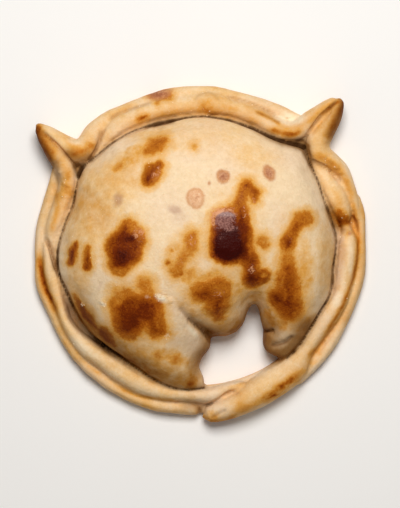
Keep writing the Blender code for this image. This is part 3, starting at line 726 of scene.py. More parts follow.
# thin-skinned spots that are only tanned: x, y, half sizes, tilt and darkness
TANNED = [
    (-1.2, 16.4, 2.7, 3.0, 0, 0.22), (7.0, 22.9, 1.9, 2.0, 10, 0.58), (20.6, 23.9, 1.7, 2.3, 28, 0.60),
    (-12.2, 48.1, 3.6, 1.7, 12, 0.66), (2.8, 20.8, 0.2, 0.3, 0, 0.60),
]
# spots of grey soot, with painted shade on the right side's flat strip and in the gap at the lower
# left, and pale floury ones, with painted highlights on the fold's ridge and the right side's crest:
# x, y, half sizes, tilt and strength
GREY_SOOT_AND_SHADE = [
    (-24.2, 16.2, 1.6, 2.2, -15, 0.95), (-7.3, 13.2, 2.2, 1.4, -20, 0.80), (21.0, 24.0, 1.3, 1.6, 0, 0.40),
    (-22.0, -10.6, 0.5, 2.0, 30, 0.30), (-6.0, 10.6, 3.0, 2.0, 0, 0.20), (-29.4, -9.4, 0.6, 1.6, -30, 0.35),
    (42.3, 2.0, 1.5, 6.0, 4, 0.55), (41.2, -8.0, 1.5, 6.0, -10, 0.45), (-38.4, -18.0, 1.6, 6.0, 30, 0.60),
    (-10.8, -11.7, 1.4, 0.3, 0, 0.80),
]
FLOUR_AND_HIGHLIGHTS = [
    (-2.2, -22.9, 3.0, 1.0, -48, 0.80), (-11.2, -13.0, 2.0, 1.1, -30, 1.00), (-15.4, -12.7, 0.6, 0.4, 0, 0.30),
    (-28.8, -14.6, 1.5, 0.6, -35, 0.80), (-34.9, -15.2, 0.4, 0.5, 0, 1.00), (27.6, 40.8, 4.4, 2.2, -8, 0.80),
    (-9.4, -24.0, 0.5, 0.5, 0, 0.50), (-37.0, 34.0, 2.6, 1.4, 0, 0.50), (-34.0, -28.6, 6.0, 1.4, -35, 0.5),
    (41.2, -13.6, 1.6, 3.2, -25, 0.60), (45.2, 0.0, 1.0, 8.0, 0, 0.40), (26.4, -23.8, 2.4, 1.2, 10, 0.20),
]
# golden hazes: x, y, half sizes, tilt, and how golden, 1 being full amber
HAZES = [
    (-32, 13, 10, 15, -12, 0.85), (-20, 28.4, 9, 3.0, 35, 1.15), (-24, 22, 10, 8, 30, 0.70),
    (-14, 36, 10, 2.6, 12, 0.50), (0, 36, 26, 7, 0, 0.34), (16, 29, 9, 5, -10, 0.45),
    (-5, -1, 6, 9, -35, 0.85), (1, -9, 9, 6, 0, 0.80), (19, 4, 3.4, 3.4, 0, 0.55), (13, -7, 9, 6, 0, 0.50),
    (-9.4, -30.8, 6.5, 2.6, -18, 1.60), (-16, -32, 17, 8, -25, 0.85), (23, -19, 5, 4, 0, 0.80), (21.4, -17.6, 3, 3.4, 0, 1.3), (24, -20.6, 4, 2.6, 0, 1.3), (31, -7, 4, 8, 0, 1.2), (3, -7, 5, 3, 0, 1.3),
    (6, -20, 11, 6, 0, 0.60), (-18, -17, 12, 11, 0, 0.50), (-36, -8, 4, 6, 0, 0.70), (31, -4, 3, 12, 0, 0.85),
    (24, -14, 8, 10, 0, 0.70), (10, 8, 10, 14, 0, 0.35), (-22, 2, 10, 12, 0, 0.30), (28, 7, 6, 8, 0, 0.40),
    (14, 19, 6, 7, 0, 0.40), (13, -10, 5, 6, 0, 1.00), (-10, -23.6, 4, 2.6, 0, 1.10), (-2.4, -16.6, 7, 2, -35, 0.8),
    (-2, -7, 6, 4, -30, 1.40), (-24.4, -10.6, 4, 2.6, 20, 1.2), (-6.6, -1, 4.4, 7, -25, 0.90),
    (38, -2, 4, 14, 0, 0.65), (17, -12, 3.4, 3, 0, 1.0), (-1.5, 31.9, 2, 2, 0, 0.6), (2, 44.8, 3.6, 3.0, 0, 0.9), (27, 35.8, 3.6, 1.4, 0, 0.9),
]
HAZES += [
    (45, 0, 2.4, 12, 0, 0.50), (41, -12, 2, 4, -25, 0.50), (-40, 20, 3, 8, 0, 1.10), (-45, 33, 3, 5, 40, 0.90),
    (-37, 33, 5, 3, 0, 0.90), (-24, 42, 8, 3, 30, 0.80), (10, 45, 14, 3, -15, 0.80), (26, -39, 9, 3, 35, 0.90),
    (34, -31, 5, 3, 45, 0.60), (40, 26, 5, 4, -40, 0.70), (36, 40, 3, 7, -40, 0.90),
    (41, 15, 3, 6, 0, 0.90), (4, -49, 4, 2, 0, 0.90),
]
# browned lines on the rim, and painted shade on the horns' outer sides, under the curl and on the
# roll's inner side: half width, how brown, and x and y
RIM_BROWN_AND_SHADE_LINES = [
    # the groove and the outer edge of the right side, and the end that crosses over
    (1.1, 0.24, [(45.4, 16.6), (46.8, 11.6), (47.6, 5.4), (47.6, 0.0), (46.6, -5.2), (44.8, -10.6)]),
    (1.2, 0.24, [(44.8, -10.6), (42.0, -17.0), (39.0, -22.4), (35.8, -27.6), (32.4, -31.2)]),
    (0.5, 0.16, [(47.5, 5.4), (47.6, 1.0), (46.6, -5.2), (44.6, -11.6), (41.6, -17.8), (38.6, -23.0)]),
    (1.0, 0.10, [(48.8, 16.0), (49.6, 8.0), (49.6, 0.0), (48.4, -8.0), (45.8, -15.0), (42.4, -22.0)]),
    (1.4, 0.20, [(10.0, -47.4), (16.0, -45.0), (21.6, -41.8), (27.4, -38.0), (33.6, -32.6)]),
    (0.9, 0.24, [(-0.4, -48.0), (2.4, -50.0), (7.0, -50.0), (11.0, -48.6)]),
    # the left side's groove and outer edge
    (1.2, 0.34, [(-48.0, 0.0), (-47.7, -4.0), (-46.6, -9.0), (-44.8, -13.4), (-43.0, -17.6)]),
    (0.6, 0.24, [(-47.8, -3.0), (-47.2, -7.0), (-46.2, -10.2), (-44.2, -14.6)]),
    (0.6, 0.10, [(-43.2, -16.6), (-41.0, -22.4), (-38.0, -28.0), (-33.6, -33.4), (-29.6, -36.4)]),
    (0.9, 0.09, [(-33.0, -33.6), (-29.0, -36.6), (-24.0, -39.6), (-19.0, -41.8)]),
    (0.5, 0.16, [(-25.0, -39.8), (-19.6, -42.4), (-13.0, -43.5), (-6.4, -43.9)]),
    (0.7, 0.06, [(-49.6, 2.0), (-49.2, -4.0), (-47.4, -11.6), (-43.6, -20.0), (-39.4, -28.0), (-34.0, -34.6),
                 (-27.0, -40.2), (-19.0, -44.6), (-10.0, -47.0), (-2.0, -47.8)]),
    # the left horn: crest of its strand, painted shade on the strand's outer side and on the lower side
    # of the curl
    (1.3, 0.06, [(-44.0, 31.4), (-41.0, 27.4), (-39.6, 24.0), (-39.8, 19.0)]),
    (2.2, 0.30, [(-49.2, 37.2), (-46.6, 32.0), (-44.2, 27.4)]),
    (1.4, 0.30, [(-38.8, 30.2), (-36.0, 30.2), (-33.4, 31.4), (-32.2, 33.6)]),
    (1.3, 0.34, [(-48.9, 38.0), (-47.4, 37.2)]),
    (1.0, 0.20, [(-42.6, 18.6), (-42.6, 13.0), (-44.6, 6.6)]),
    # the right horn: the browned inner side of the roll, the slit, and painted shade on the outer side
    (0.9, 0.34, [(21.0, 37.4), (25.0, 36.1), (28.0, 35.8), (30.6, 36.8)]),
    (1.0, 0.12, [(24.0, 38.2), (28.2, 37.8), (31.4, 39.0), (35.0, 41.6), (38.4, 44.4), (41.0, 46.2)]),
    (0.5, 0.20, [(38.0, 42.8), (39.6, 44.2), (41.6, 45.6)]),
    (1.4, 0.20, [(41.4, 46.8), (43.0, 45.6), (43.2, 43.4)]),
    (1.8, 0.26, [(43.0, 44.0), (41.0, 40.4), (39.2, 37.2), (37.6, 34.2)]),
    (1.2, 0.22, [(34.6, 30.0), (37.6, 28.4), (41.0, 25.8), (44.0, 22.4), (45.6, 17.4)]),
    # along the horned side: painted shade, golden brown, on the roll's inner side, and its amber groove
    (1.7, 0.15, [(-22.0, 38.4), (-10.0, 41.8), (0.0, 43.0), (10.0, 41.6), (20.0, 37.8)]),
    (2.2, 0.06, [(0.4, 44.4), (2.6, 45.6), (4.6, 44.4)]),
    (0.7, 0.24, [(17.0, 42.6), (20.4, 41.0), (24.4, 38.8)]),
]
# the lobes' ends, which turn down towards the rim and the gap, browned golden and given painted
# shade: half width, golden, x and y
LOBE_END_BROWN_AND_SHADE = [
    (6.0, 0.9, [(-36.0, -19.0), (-31.0, -25.5), (-22.0, -32.0), (-12.0, -37.0), (-2.0, -39.2)]),
    (4.5, 1.0, [(-2.0, -38.8), (-1.2, -33.0), (3.0, -28.0), (3.6, -25.0)]),
    (4.5, 1.0, [(3.6, -25.4), (9.0, -24.0), (12.6, -21.4)]),
    (2.2, 0.8, [(12.6, -21.4), (14.6, -16.8), (16.4, -15.0), (17.8, -16.4), (18.4, -20.0)]),
    (6.5, 1.2, [(19.0, -24.0), (20.6, -29.6), (25.0, -31.0), (30.0, -27.4), (34.0, -22.0)]),
]
# shade in the folds: half width and depth at its start, the same at its end, and x and y
FOLD_SHADES = [
    (1.0, 1.3, 0.4, 0.6, [(3.8, -26.0), (1.9, -23.5), (0.4, -22.2), (-1.2, -21.1), (-2.8, -19.6)]),
    (1.6, 0.8, 1.6, 0.3, [(4.4, -24.6), (2.2, -22.4), (0.0, -20.8), (-3.0, -18.2), (-5.6, -15.0)]),
    (3.4, 0.35, 3.4, 0.35, [(-7.0, -26.6), (-2.0, -27.4), (1.4, -29.0)]),
    # the right lobe's slit, smile and underside
    (0.5, 0.8, 0.3, 0.2, [(18.4, -23.0), (20.2, -23.1), (21.8, -23.0)]),
    (1.2, 0.2, 0.9, 0.35, [(20.4, -27.4), (23.4, -27.2), (26.0, -26.2), (27.8, -24.4)]),
    (1.4, 0.5, 1.4, 0.6, [(19.6, -29.0), (22.0, -30.6), (25.0, -30.4)]),
    (3.6, 0.45, 3.4, 0.50, [(21.0, -20.6), (25.6, -23.0), (30.0, -21.0)]),
    (3.0, 0.40, 3.0, 0.50, [(21.0, -26.4), (25.6, -27.4), (29.4, -25.0)]),
    # the crevice where it is deep
    (0.4, 0.3, 0.8, 0.8, [(-16.0, 37.6), (-12.4, 38.8), (-8.0, 39.6)]),
    (0.5, 0.3, 1.2, 1.0, [(12.0, 39.0), (17.0, 36.8), (21.0, 34.6), (25.0, 33.2)]),
    (1.2, 1.2, 1.6, 2.0, [(25.0, 33.5), (29.0, 32.9), (31.4, 32.0)]),
    (1.5, 2.0, 0.4, 0.3, [(31.4, 32.0), (32.6, 28.8), (34.6, 23.4)]),
    (0.8, 0.3, 1.6, 0.30, [(-41.8, -7.0), (-39.4, -12.6), (-37.4, -18.0), (-34.4, -22.4)]),
    (1.6, 0.30, 1.0, 0.5, [(-34.4, -22.4), (-30.4, -26.4), (-25.6, -29.8), (-18.0, -33.4)]),
    (3.0, 0.36, 2.6, 0.30, [(-34.4, -12.0), (-30.6, -20.0), (-24.0, -28.0), (-14.0, -34.0)]),
    (1.5, 0.6, 1.5, 0.7, [(38.6, 13.4), (39.8, 11.0), (40.8, 8.8)]),
    (1.2, 1.7, 0.9, 1.3, [(-36.8, 26.8), (-36.0, 25.8), (-35.8, 24.0)]),
    (0.8, 0.5, 1.2, 0.8, [(-46.2, 4.4), (-44.8, 1.9), (-44.0, -1.0), (-43.1, -4.2)]),
    (1.2, 0.8, 0.5, 0.5, [(-43.1, -2.2), (-42.6, -5.2), (-41.0, -8.6)]),
    (1.2, 0.7, 1.4, 0.7, [(41.6, 10.6), (42.0, 8.8), (42.8, 7.4)]),
    # the right side's outer edge, and the belly's right side
    (0.9, 0.20, 0.9, 0.25, [(49.8, 8.0), (50.0, 0.0), (49.0, -8.0), (46.4, -15.0), (43.4, -21.0)]),
    (2.6, 0.26, 2.6, 0.26, [(38.0, 9.0), (38.4, 0.0), (37.6, -8.0), (35.4, -15.0)]),
    # where the left side's end goes under the other
    (1.4, 0.5, 1.0, 1.0, [(-4.0, -45.4), (-1.6, -45.6), (0.2, -46.8)]),
    # the horns' outer sides, and the hollows under them
    (2.0, 1.0, 2.0, 1.1, [(-49.6, 37.0), (-47.0, 31.6), (-44.4, 26.8)]),
    (1.3, 0.8, 1.0, 0.2, [(-43.0, 27.6), (-42.4, 24.6), (-43.2, 20.0)]),
    (1.4, 0.8, 1.5, 0.8, [(-39.2, 30.2), (-37.2, 28.9), (-35.0, 28.4), (-33.2, 29.4)]),
    (0.9, 0.5, 0.9, 0.3, [(-33.0, 29.0), (-31.2, 32.0), (-29.8, 36.0)]),
    (1.9, 1.0, 2.2, 0.9, [(43.6, 45.4), (41.6, 40.8), (39.6, 36.0)]),
    (0.6, 0.7, 0.6, 0.5, [(40.6, 45.4), (39.4, 44.0), (37.8, 42.4)]),
    (1.0, 0.6, 0.8, 0.7, [(26.0, 34.6), (29.0, 34.2), (31.2, 34.0)]),
]
# where the painted shade line in the crevice is wider, or below nought narrower: x, y, half sizes,
# tilt, by how much
CREVICE_SHADE_WIDTHS = [
    (26.0, 33.6, 6.0, 2.6, -15, 0.55), (31.6, 31.6, 2.6, 2.6, 0, 0.60), (15.0, 37.6, 8.0, 2.6, -22, 0.25),
    (-11.0, 39.0, 5.0, 2.0, 10, 0.30), (-36.2, 25.4, 2.2, 3.0, 0, 0.50), (-26.0, -29.0, 4.0, 2.0, -35, 0.15),
    (-33.6, -22.6, 3.0, 6.5, 40, -0.40),
]
MARK_GROWTH = 0.50
MARK_BLEND = 2.2
CREVICE_SHADE_LINE = 0.22
CREASE_SHADE_WIDTH = 0.42
SHELTER_RAYS = 20
SHELTER_REACH = 14.0
SHELTER_INNER_RADIUS = 31.0


def paint(mesh, name, values):
    """Keep a number for each point of the mesh, for its material to read."""
    attribute = mesh.attributes.new(name, "FLOAT", "POINT")
    attribute.data.foreach_set("value", np.asarray(values, np.float32))


def in_run(flat, run):
    """How deep each place lies inside a run of round patches, and below nought outside it."""
    deepest = np.full(len(flat), -np.inf)
    for one, two in zip(run, run[1:] + run[-1:]):
        a, step = np.array(one[:2]), np.array(two[:2]) - np.array(one[:2])
        t = np.clip((flat - a) @ step / max(step @ step, 1e-9), 0.0, 1.0)
        distance = np.hypot(*(flat - a - t[:, None] * step).T)
        deepest = np.maximum(deepest, one[2] + (two[2] - one[2]) * t - distance)
    return deepest


def in_patches(flat, patches):
    """Sum of soft ovals, each with its own strength."""
    total = np.zeros(len(flat))
    for x, y, half_x, half_y, tilt, strength in patches:
        total += strength * ease(in_oval(flat, x, y, half_x, half_y, tilt), -0.35, 0.65)
    return total


def sheltered(mesh, places, normals):
    """Share of the light from above and around that the rest of the crust keeps off each point."""
    count = len(mesh.vertices)
    tree = BVHTree.FromPolygons([tuple(p) for p in places], [tuple(p.vertices) for p in mesh.polygons])
    rays = []
    for k in range(SHELTER_RAYS):
        rise = (k + 0.5) / SHELTER_RAYS
        turn = k * math.pi * (3 - math.sqrt(5))
        rays.append(Vector((math.cos(turn) * math.sqrt(1 - rise * rise),
                            math.sin(turn) * math.sqrt(1 - rise * rise), rise)))
    hidden = np.zeros(count)
    looked = np.hypot(places[:, 0], places[:, 1]) > SHELTER_INNER_RADIUS
    looked |= (places[:, 1] < -8) & (np.abs(places[:, 0] - 8) < 20)
    looked &= normals[:, 2] > -0.7
    for i in np.flatnonzero(looked):
        start = Vector(places[i] + normals[i] * 0.3)
        normal = Vector(normals[i])
        total = blocked = 0.0
        for ray in rays:
            facing = ray.dot(normal)
            if facing > 0.05:
                total += facing
                if tree.ray_cast(start, ray, SHELTER_REACH)[0] is not None:
                    blocked += facing
        hidden[i] = blocked / total if total else 1.0
    return hidden


places, normals = places_and_normals(crust.data)
wander = np.stack((lumps(places, 3.6, 21.0), lumps(places, 3.6, 22.0)), axis=1) * 0.5
wander += np.stack((lumps(places, 1.3, 23.0), lumps(places, 1.3, 24.0)), axis=1) * 0.35
flat = places[:, :2] + wander
total, dark, shine, soft = np.zeros((4, len(places)))
for darkness, shininess, softness, run in MARKS:
    deep = in_run(flat, run)
    weight = np.exp(MARK_BLEND * np.clip(deep, -9, 9))
    total += weight
    dark += weight * darkness
    soft += weight * softness
    shine = np.maximum(shine, shininess * ease(deep, -0.2, 1.2))
facing_up = ease(normals[:, 2], -0.3, 0.0)
deep = (np.log(total) / MARK_BLEND + MARK_GROWTH) * total / soft
paint(crust.data, "mark", np.where(normals[:, 2] > -0.2, deep, -9))
paint(crust.data, "darkness", dark / total + in_patches(flat, SOOT) * ease(deep, -0.5, 0.8))
paint(crust.data, "shine", shine * facing_up)
# the painted sheen and glints, on faces that look up
paint(crust.data, "painted_sheen", np.minimum(in_patches(flat, PAINTED_SHEEN), 1.0) * facing_up)
spot, spot_dark = np.full(len(places), -9.0), np.zeros(len(places))
for x, y, half_x, half_y, tilt, darkness in TANNED:
    inside = in_oval(places[:, :2] + wander * 0.4, x, y, half_x, half_y, tilt) * min(half_x, half_y)
    spot_dark = np.where(inside > spot, darkness, spot_dark)
    spot = np.maximum(spot, inside)
paint(crust.data, "spot", np.where(normals[:, 2] > 0.1, spot, -9))
paint(crust.data, "spot_dark", spot_dark)
# grey soot, and painted shade on the right side's strip and in the lower left gap
paint(crust.data, "soot_grey_and_shade", np.minimum(in_patches(flat, GREY_SOOT_AND_SHADE), 1.0) * facing_up)
# pale flour, and painted highlights on the fold's ridge and the right side's crest
paint(crust.data, "flour_and_highlight", np.minimum(in_patches(places[:, :2] + wander * 0.5, FLOUR_AND_HIGHLIGHTS), 1.0) * facing_up)
haze = np.zeros(len(places))
for x, y, half_x, half_y, tilt, golden in HAZES:
    haze = np.maximum(haze, golden * ease(in_oval(flat + wander, x, y, half_x, half_y, tilt), -0.35, 0.7))
ends = np.zeros(len(places))
for half_width, golden, line in LOBE_END_BROWN_AND_SHADE:
    distance, along = near_line(flat, line)
    ends = np.maximum(ends, golden * ease(-distance, -half_width, 0.0))
radius = np.hypot(places[:, 0], places[:, 1])
bearing = np.degrees(np.arctan2(places[:, 1], places[:, 0]))
belly_line = round_the_rim(BELLY_AT_RIM, ROLL_GAP)
line_bearing = np.degrees(np.arctan2(belly_line[:, 1], belly_line[:, 0]))
belly_radius = np.interp(bearing, *zip(*sorted(zip(line_bearing, np.hypot(*belly_line.T)))), period=360)
on_rim = ease(radius - belly_radius, -0.3, 0.5) * ease(-places[:, 2], -13.5, -12.0)
rim_brown_and_shade = np.zeros(len(places))
for half_width, brown, line in RIM_BROWN_AND_SHADE_LINES:
    distance, along = near_line(places[:, :2] + wander * 0.35, line)
    fade = ease(along, -0.08, 0.12) * ease(-along, -1.08, -0.88)
    rim_brown_and_shade = np.maximum(rim_brown_and_shade, 0) + brown * fade * np.exp(-(distance / half_width) ** 2)
# browned lines on the rim, with painted shade on the horns' outer sides, under the curl and on the roll's inner side
paint(crust.data, "rim_brown_and_shade", np.minimum(rim_brown_and_shade, 0.75) * ease(places[:, 2], -0.5, 1.0))
# the lobes' ends, browned golden and darkened with painted shade by the material
paint(crust.data, "lobe_end_brown_and_shade", ends * (1 - on_rim))
haze = np.maximum(haze, on_rim * (0.44 + 0.44 * lumps(places, 8.0, 32.0)))
paint(crust.data, "haze", haze)
# each point's distance from the crevice, for the painted shade line and painted shade there
distance, along = near_line(places[:, :2], belly_line)
shade_widening = in_patches(places[:, :2], CREVICE_SHADE_WIDTHS)
paint(crust.data, "crevice", np.maximum(distance - shade_widening, 0.0))
shade = np.zeros(len(places))
for width_from, depth_from, width_to, depth_to, line in FOLD_SHADES:
    distance, along = near_line(places[:, :2] + wander * 0.3, line)
    half_width = width_from + (width_to - width_from) * along
    depth = depth_from + (depth_to - depth_from) * along
    shade = np.maximum(shade, depth * np.exp(-(distance / half_width) ** 2))
paint(crust.data, "shade", shade)
# painted shade in the creases, which the material darkens
crease_shade = np.zeros(len(places))
for depth, half_width, line in CREASES:
    distance, along = near_line(places[:, :2], line)
    fade = ease(along, 0.0, 0.12) * ease(-along, -1.0, -0.88)
    crease_shade = np.maximum(crease_shade, min(depth, 0.8) * fade * np.exp(-(distance / CREASE_SHADE_WIDTH) ** 2))
paint(crust.data, "crease_shade", crease_shade * facing_up)
# how much of the light from above the rest of the crust keeps off each point, which the material paints as shade
paint(crust.data, "shelter", sheltered(crust.data, places, normals))

def math_node(operation, one, two=0.0, clamp=False):
    node = put(tree, "ShaderNodeMath", operation=operation, use_clamp=clamp)
    for k, value in enumerate((one, two)):
        if isinstance(value, bpy.types.NodeSocket):
            tree.links.new(value, node.inputs[k])
        else:
            node.inputs[k].default_value = value
    return node.outputs[0]


def kept(name):
    return put(tree, "ShaderNodeAttribute", attribute_name=name).outputs["Fac"]


def fine_noise(place, scale_mm, detail, roughness=0.5, distortion=0.0):
    node = put(tree, "ShaderNodeTexNoise", Vector=place,
               Scale=1 / (scale_mm * MM), Detail=detail, Roughness=roughness, Distortion=distortion)
    return node.outputs["Fac"]


def ramp(value, stops):
    node = put(tree, "ShaderNodeValToRGB", Fac=value)
    elements = node.color_ramp.elements
    while len(elements) < len(stops):
        elements.new(0.5)
    for element, (position, colour) in zip(elements, stops):
        element.position = position
        element.color = (*colour, 1)
    return node.outputs["Color"]


def ranged(value, low, high, to_low=0.0, to_high=1.0, smooth=False):
    node = put(tree, "ShaderNodeMapRange", Value=value,
               interpolation_type="SMOOTHSTEP" if smooth else "LINEAR")
    node.inputs["From Min"].default_value = low
    node.inputs["From Max"].default_value = high
    node.inputs["To Min"].default_value = to_low
    node.inputs["To Max"].default_value = to_high
    return node.outputs["Result"]


def mixed(factor, one, two, blend="MIX"):
    node = put(tree, "ShaderNodeMix", data_type="RGBA", blend_type=blend, Factor=factor)
    for key, value in (("A", one), ("B", two)):
        if isinstance(value, bpy.types.NodeSocket):
            tree.links.new(value, node.inputs[key])
        else:
            node.inputs[key].default_value = (*value, 1)
    return node.outputs["Result"]


# the grain of baked dough, which the crust and its crumbs share: each output is from 0 to 1
dough_grain = bpy.data.node_groups.new("dough_grain", "ShaderNodeTree")
dough_grain.interface.new_socket("Place", in_out="INPUT", socket_type="NodeSocketVector")
GRAINS = {"Speckle": (0.55, 3.0, 0.6, 0.0), "Blotch": (1.5, 3.0, 0.55, 0.4), "Mottle": (3.4, 4.0, 0.55, 0.0),
          "Wrinkle": (1.1, 2.0, 0.5, 1.6), "Cloud": (13.0, 3.0, 0.5, 0.0)}
for name in GRAINS:
    dough_grain.interface.new_socket(name, in_out="OUTPUT", socket_type="NodeSocketFloat")
tree = dough_grain
place = put(tree, "NodeGroupInput").outputs["Place"]
put(tree, "NodeGroupOutput", **{name: fine_noise(place, *grain) for name, grain in GRAINS.items()})

# the crust's material
dough_finish, tree, shader = new_material("baked_dough")
coordinates = put(tree, "ShaderNodeTexCoord")
grains = put(tree, "ShaderNodeGroup", node_tree=dough_grain, Place=coordinates.outputs["Object"]).outputs
speckle, blotch, mottle, wrinkle, cloud = (grains[name] for name in GRAINS)
height_mm = math_node("MULTIPLY", put(tree, "ShaderNodeSeparateXYZ", Vector=coordinates.outputs["Object"]).outputs["Z"], 1 / MM)
# how far inside a mark, with an uneven edge
wobble = math_node("ADD", math_node("MULTIPLY", math_node("SUBTRACT", blotch, 0.5), 1.2),
                   math_node("MULTIPLY", math_node("SUBTRACT", speckle, 0.5), 0.3))
deep = math_node("ADD", kept("mark"), wobble)
halo = ranged(math_node("ADD", deep, math_node("MULTIPLY", math_node("SUBTRACT", mottle, 0.5), 2.4)), -2.6, -0.2, 0.0, 0.19, True)
edge = ranged(deep, -0.55, 0.85, 0.0, 0.25, True)
body = math_node("MULTIPLY", ranged(deep, 0.2, 2.6, 0.0, 1.0), math_node("SUBTRACT", kept("darkness"), 0.44))
uneven = math_node("MULTIPLY", ranged(deep, 0.0, 1.2), math_node("ADD", math_node(
    "MULTIPLY", math_node("SUBTRACT", wrinkle, 0.5), 0.34), math_node("MULTIPLY", math_node("SUBTRACT", mottle, 0.5), 0.22)))
browned = math_node("ADD", math_node("ADD", halo, edge), math_node("ADD", body, uneven))
# the golden haze, and what browns on the rim, with its painted shade on the horns' outer sides and
# under the rolls, at the lobes' ends, on the side and underneath
hazed = math_node("MULTIPLY", kept("haze"), ranged(mottle, 0.3, 0.7, 0.12, 0.32))
rim_brown_and_shade = math_node("MULTIPLY", kept("rim_brown_and_shade"), ranged(blotch, 0.3, 0.7, 0.75, 1.25))
ended = math_node("MULTIPLY", kept("lobe_end_brown_and_shade"), ranged(mottle, 0.3, 0.7, 0.06, 0.20))
flat_brown = math_node("ADD", ranged(mottle, 0.3, 0.7, 0.10, 0.42), ranged(cloud, 0.35, 0.65, 0.0, 0.16))
under = math_node("MULTIPLY", ranged(height_mm, 0.15, 2.6, 0.9, 0.0), flat_brown)
bake = math_node("MAXIMUM", browned, hazed)
bake = math_node("ADD", bake, math_node("ADD", rim_brown_and_shade, ended))
bake = math_node("MAXIMUM", bake, under)
bake = math_node("ADD", bake, ranged(speckle, 0.3, 0.8, -0.02, 0.05), clamp=True)
BAKE_COLOURS = [
    (0.00, (0.90, 0.70, 0.46)), (0.14, (0.85, 0.55, 0.25)), (0.28, (0.76, 0.38, 0.080)),
    (0.44, (0.56, 0.19, 0.014)), (0.60, (0.36, 0.085, 0.003)), (0.78, (0.17, 0.024, 0.001)),
    (1.00, (0.048, 0.003, 0.001)),
]
underside = ramp(flat_brown, BAKE_COLOURS)
colour = ramp(bake, BAKE_COLOURS)
# the rim's browned lines and painted shade, made a little less orange
colour = mixed(ranged(kept("rim_brown_and_shade"), 0.0, 0.4), colour, mixed(1.0, colour, (0.96, 0.98, 1.15), "MULTIPLY"))
toned = ranged(blotch, 0.25, 0.75)
colour = mixed(toned, mixed(1.0, colour, (0.93, 0.90, 0.85), "MULTIPLY"), mixed(1.0, colour, (1.05, 1.06, 1.08), "MULTIPLY"))
paled = math_node("MULTIPLY", ranged(cloud, 0.40, 0.64), 0.55)
colour = mixed(paled, colour, mixed(1.0, colour, (0.96, 0.95, 1.06), "MULTIPLY"))
pores = math_node("MULTIPLY", ranged(speckle, 0.66, 0.74), 0.22)
colour = mixed(pores, colour, mixed(1.0, colour, (0.55, 0.50, 0.45), "MULTIPLY"))
# grey soot, with painted shade on the right side's strip and in the lower left gap, and pale flour,
# with painted highlights on the fold's ridge and the right side's crest
colour = mixed(kept("soot_grey_and_shade"), colour, mixed(1.0, colour, (0.68, 0.58, 0.60), "MULTIPLY"))
flour_and_highlight = math_node("MULTIPLY", kept("flour_and_highlight"), ranged(blotch, 0.3, 0.6, 0.6, 1.0))
colour = mixed(flour_and_highlight, colour, (0.97, 0.85, 0.64))
# the tanned spots, with a thin orange edge
tan_value = math_node("MULTIPLY", math_node("SUBTRACT", math_node("ADD", math_node("MULTIPLY", blotch, 0.7), math_node("MULTIPLY", wrinkle, 0.6)), 0.65), 1.1)
tan_value = math_node("ADD", tan_value, math_node("ADD", kept("spot_dark"), ranged(kept("spot"), 0.0, 2.0, -0.08, 0.10)))
tan = ramp(tan_value, [(0.0, (0.90, 0.62, 0.39)), (0.30, (0.78, 0.44, 0.24)), (0.66, (0.44, 0.17, 0.080)), (1.0, (0.24, 0.07, 0.03))])
spot = math_node("ADD", kept("spot"), math_node("MULTIPLY", math_node("SUBTRACT", blotch, 0.5), 0.9))
tan = mixed(ranged(math_node("ABSOLUTE", math_node("SUBTRACT", spot, 0.15)), 0.1, 0.8, 0.6, 0.0), tan, (0.58, 0.24, 0.075))
colour = mixed(ranged(spot, -0.7, 0.4, 0.0, 0.95, True), colour, tan)
# painted sheen on the blisters: a painted mauve reflection on the shiniest blister and painted salmon
# glints on the others, whole where it is strong and in specks where it is weak
film = ranged(math_node("ADD", wrinkle, math_node("MULTIPLY", kept("painted_sheen"), 0.5)), 0.70, 0.88, 0.0, 0.85)
film = math_node("MULTIPLY", film, ranged(kept("painted_sheen"), 0.05, 0.25))
mauve = mixed(ranged(speckle, 0.4, 0.65), (0.18, 0.062, 0.052), (0.44, 0.205, 0.16))
sheen = mixed(ranged(kept("shine"), 0.75, 0.95), (0.74, 0.34, 0.16), mauve)
colour = mixed(film, colour, sheen)
# painted shade: soft painted shade in the hollows, by the crevice, in the creases, at the lobes' ends
# and where light is kept off, and a dark painted shade line in the crevice
off_crevice = math_node("ADD", kept("crevice"), ranged(height_mm, 8.6, 11.0, 0.0, 1.6))
line_width = math_node("ADD", math_node("MULTIPLY", math_node("SUBTRACT", mottle, 0.5), 0.8), CREVICE_SHADE_LINE)
colour = mixed(ranged(math_node("SUBTRACT", line_width, off_crevice), -0.40, 0.25, 0.0, 0.93, True), colour, (0.100, 0.042, 0.009))
colour = mixed(kept("crease_shade"), colour, mixed(1.0, colour, (0.36, 0.22, 0.11), "MULTIPLY"))
painted_shade = math_node("MAXIMUM", ranged(off_crevice, 0.2, 1.5, 0.34, 0.0, True), ranged(kept("shelter"), 0.45, 0.95, 0.0, 0.7))
painted_shade = math_node("MAXIMUM", painted_shade, math_node("MULTIPLY", kept("lobe_end_brown_and_shade"), 0.68))
painted_shade = math_node("ADD", painted_shade, kept("shade"), clamp=True)
colour = mixed(painted_shade, colour, mixed(1.0, colour, (0.37, 0.275, 0.175), "MULTIPLY"))
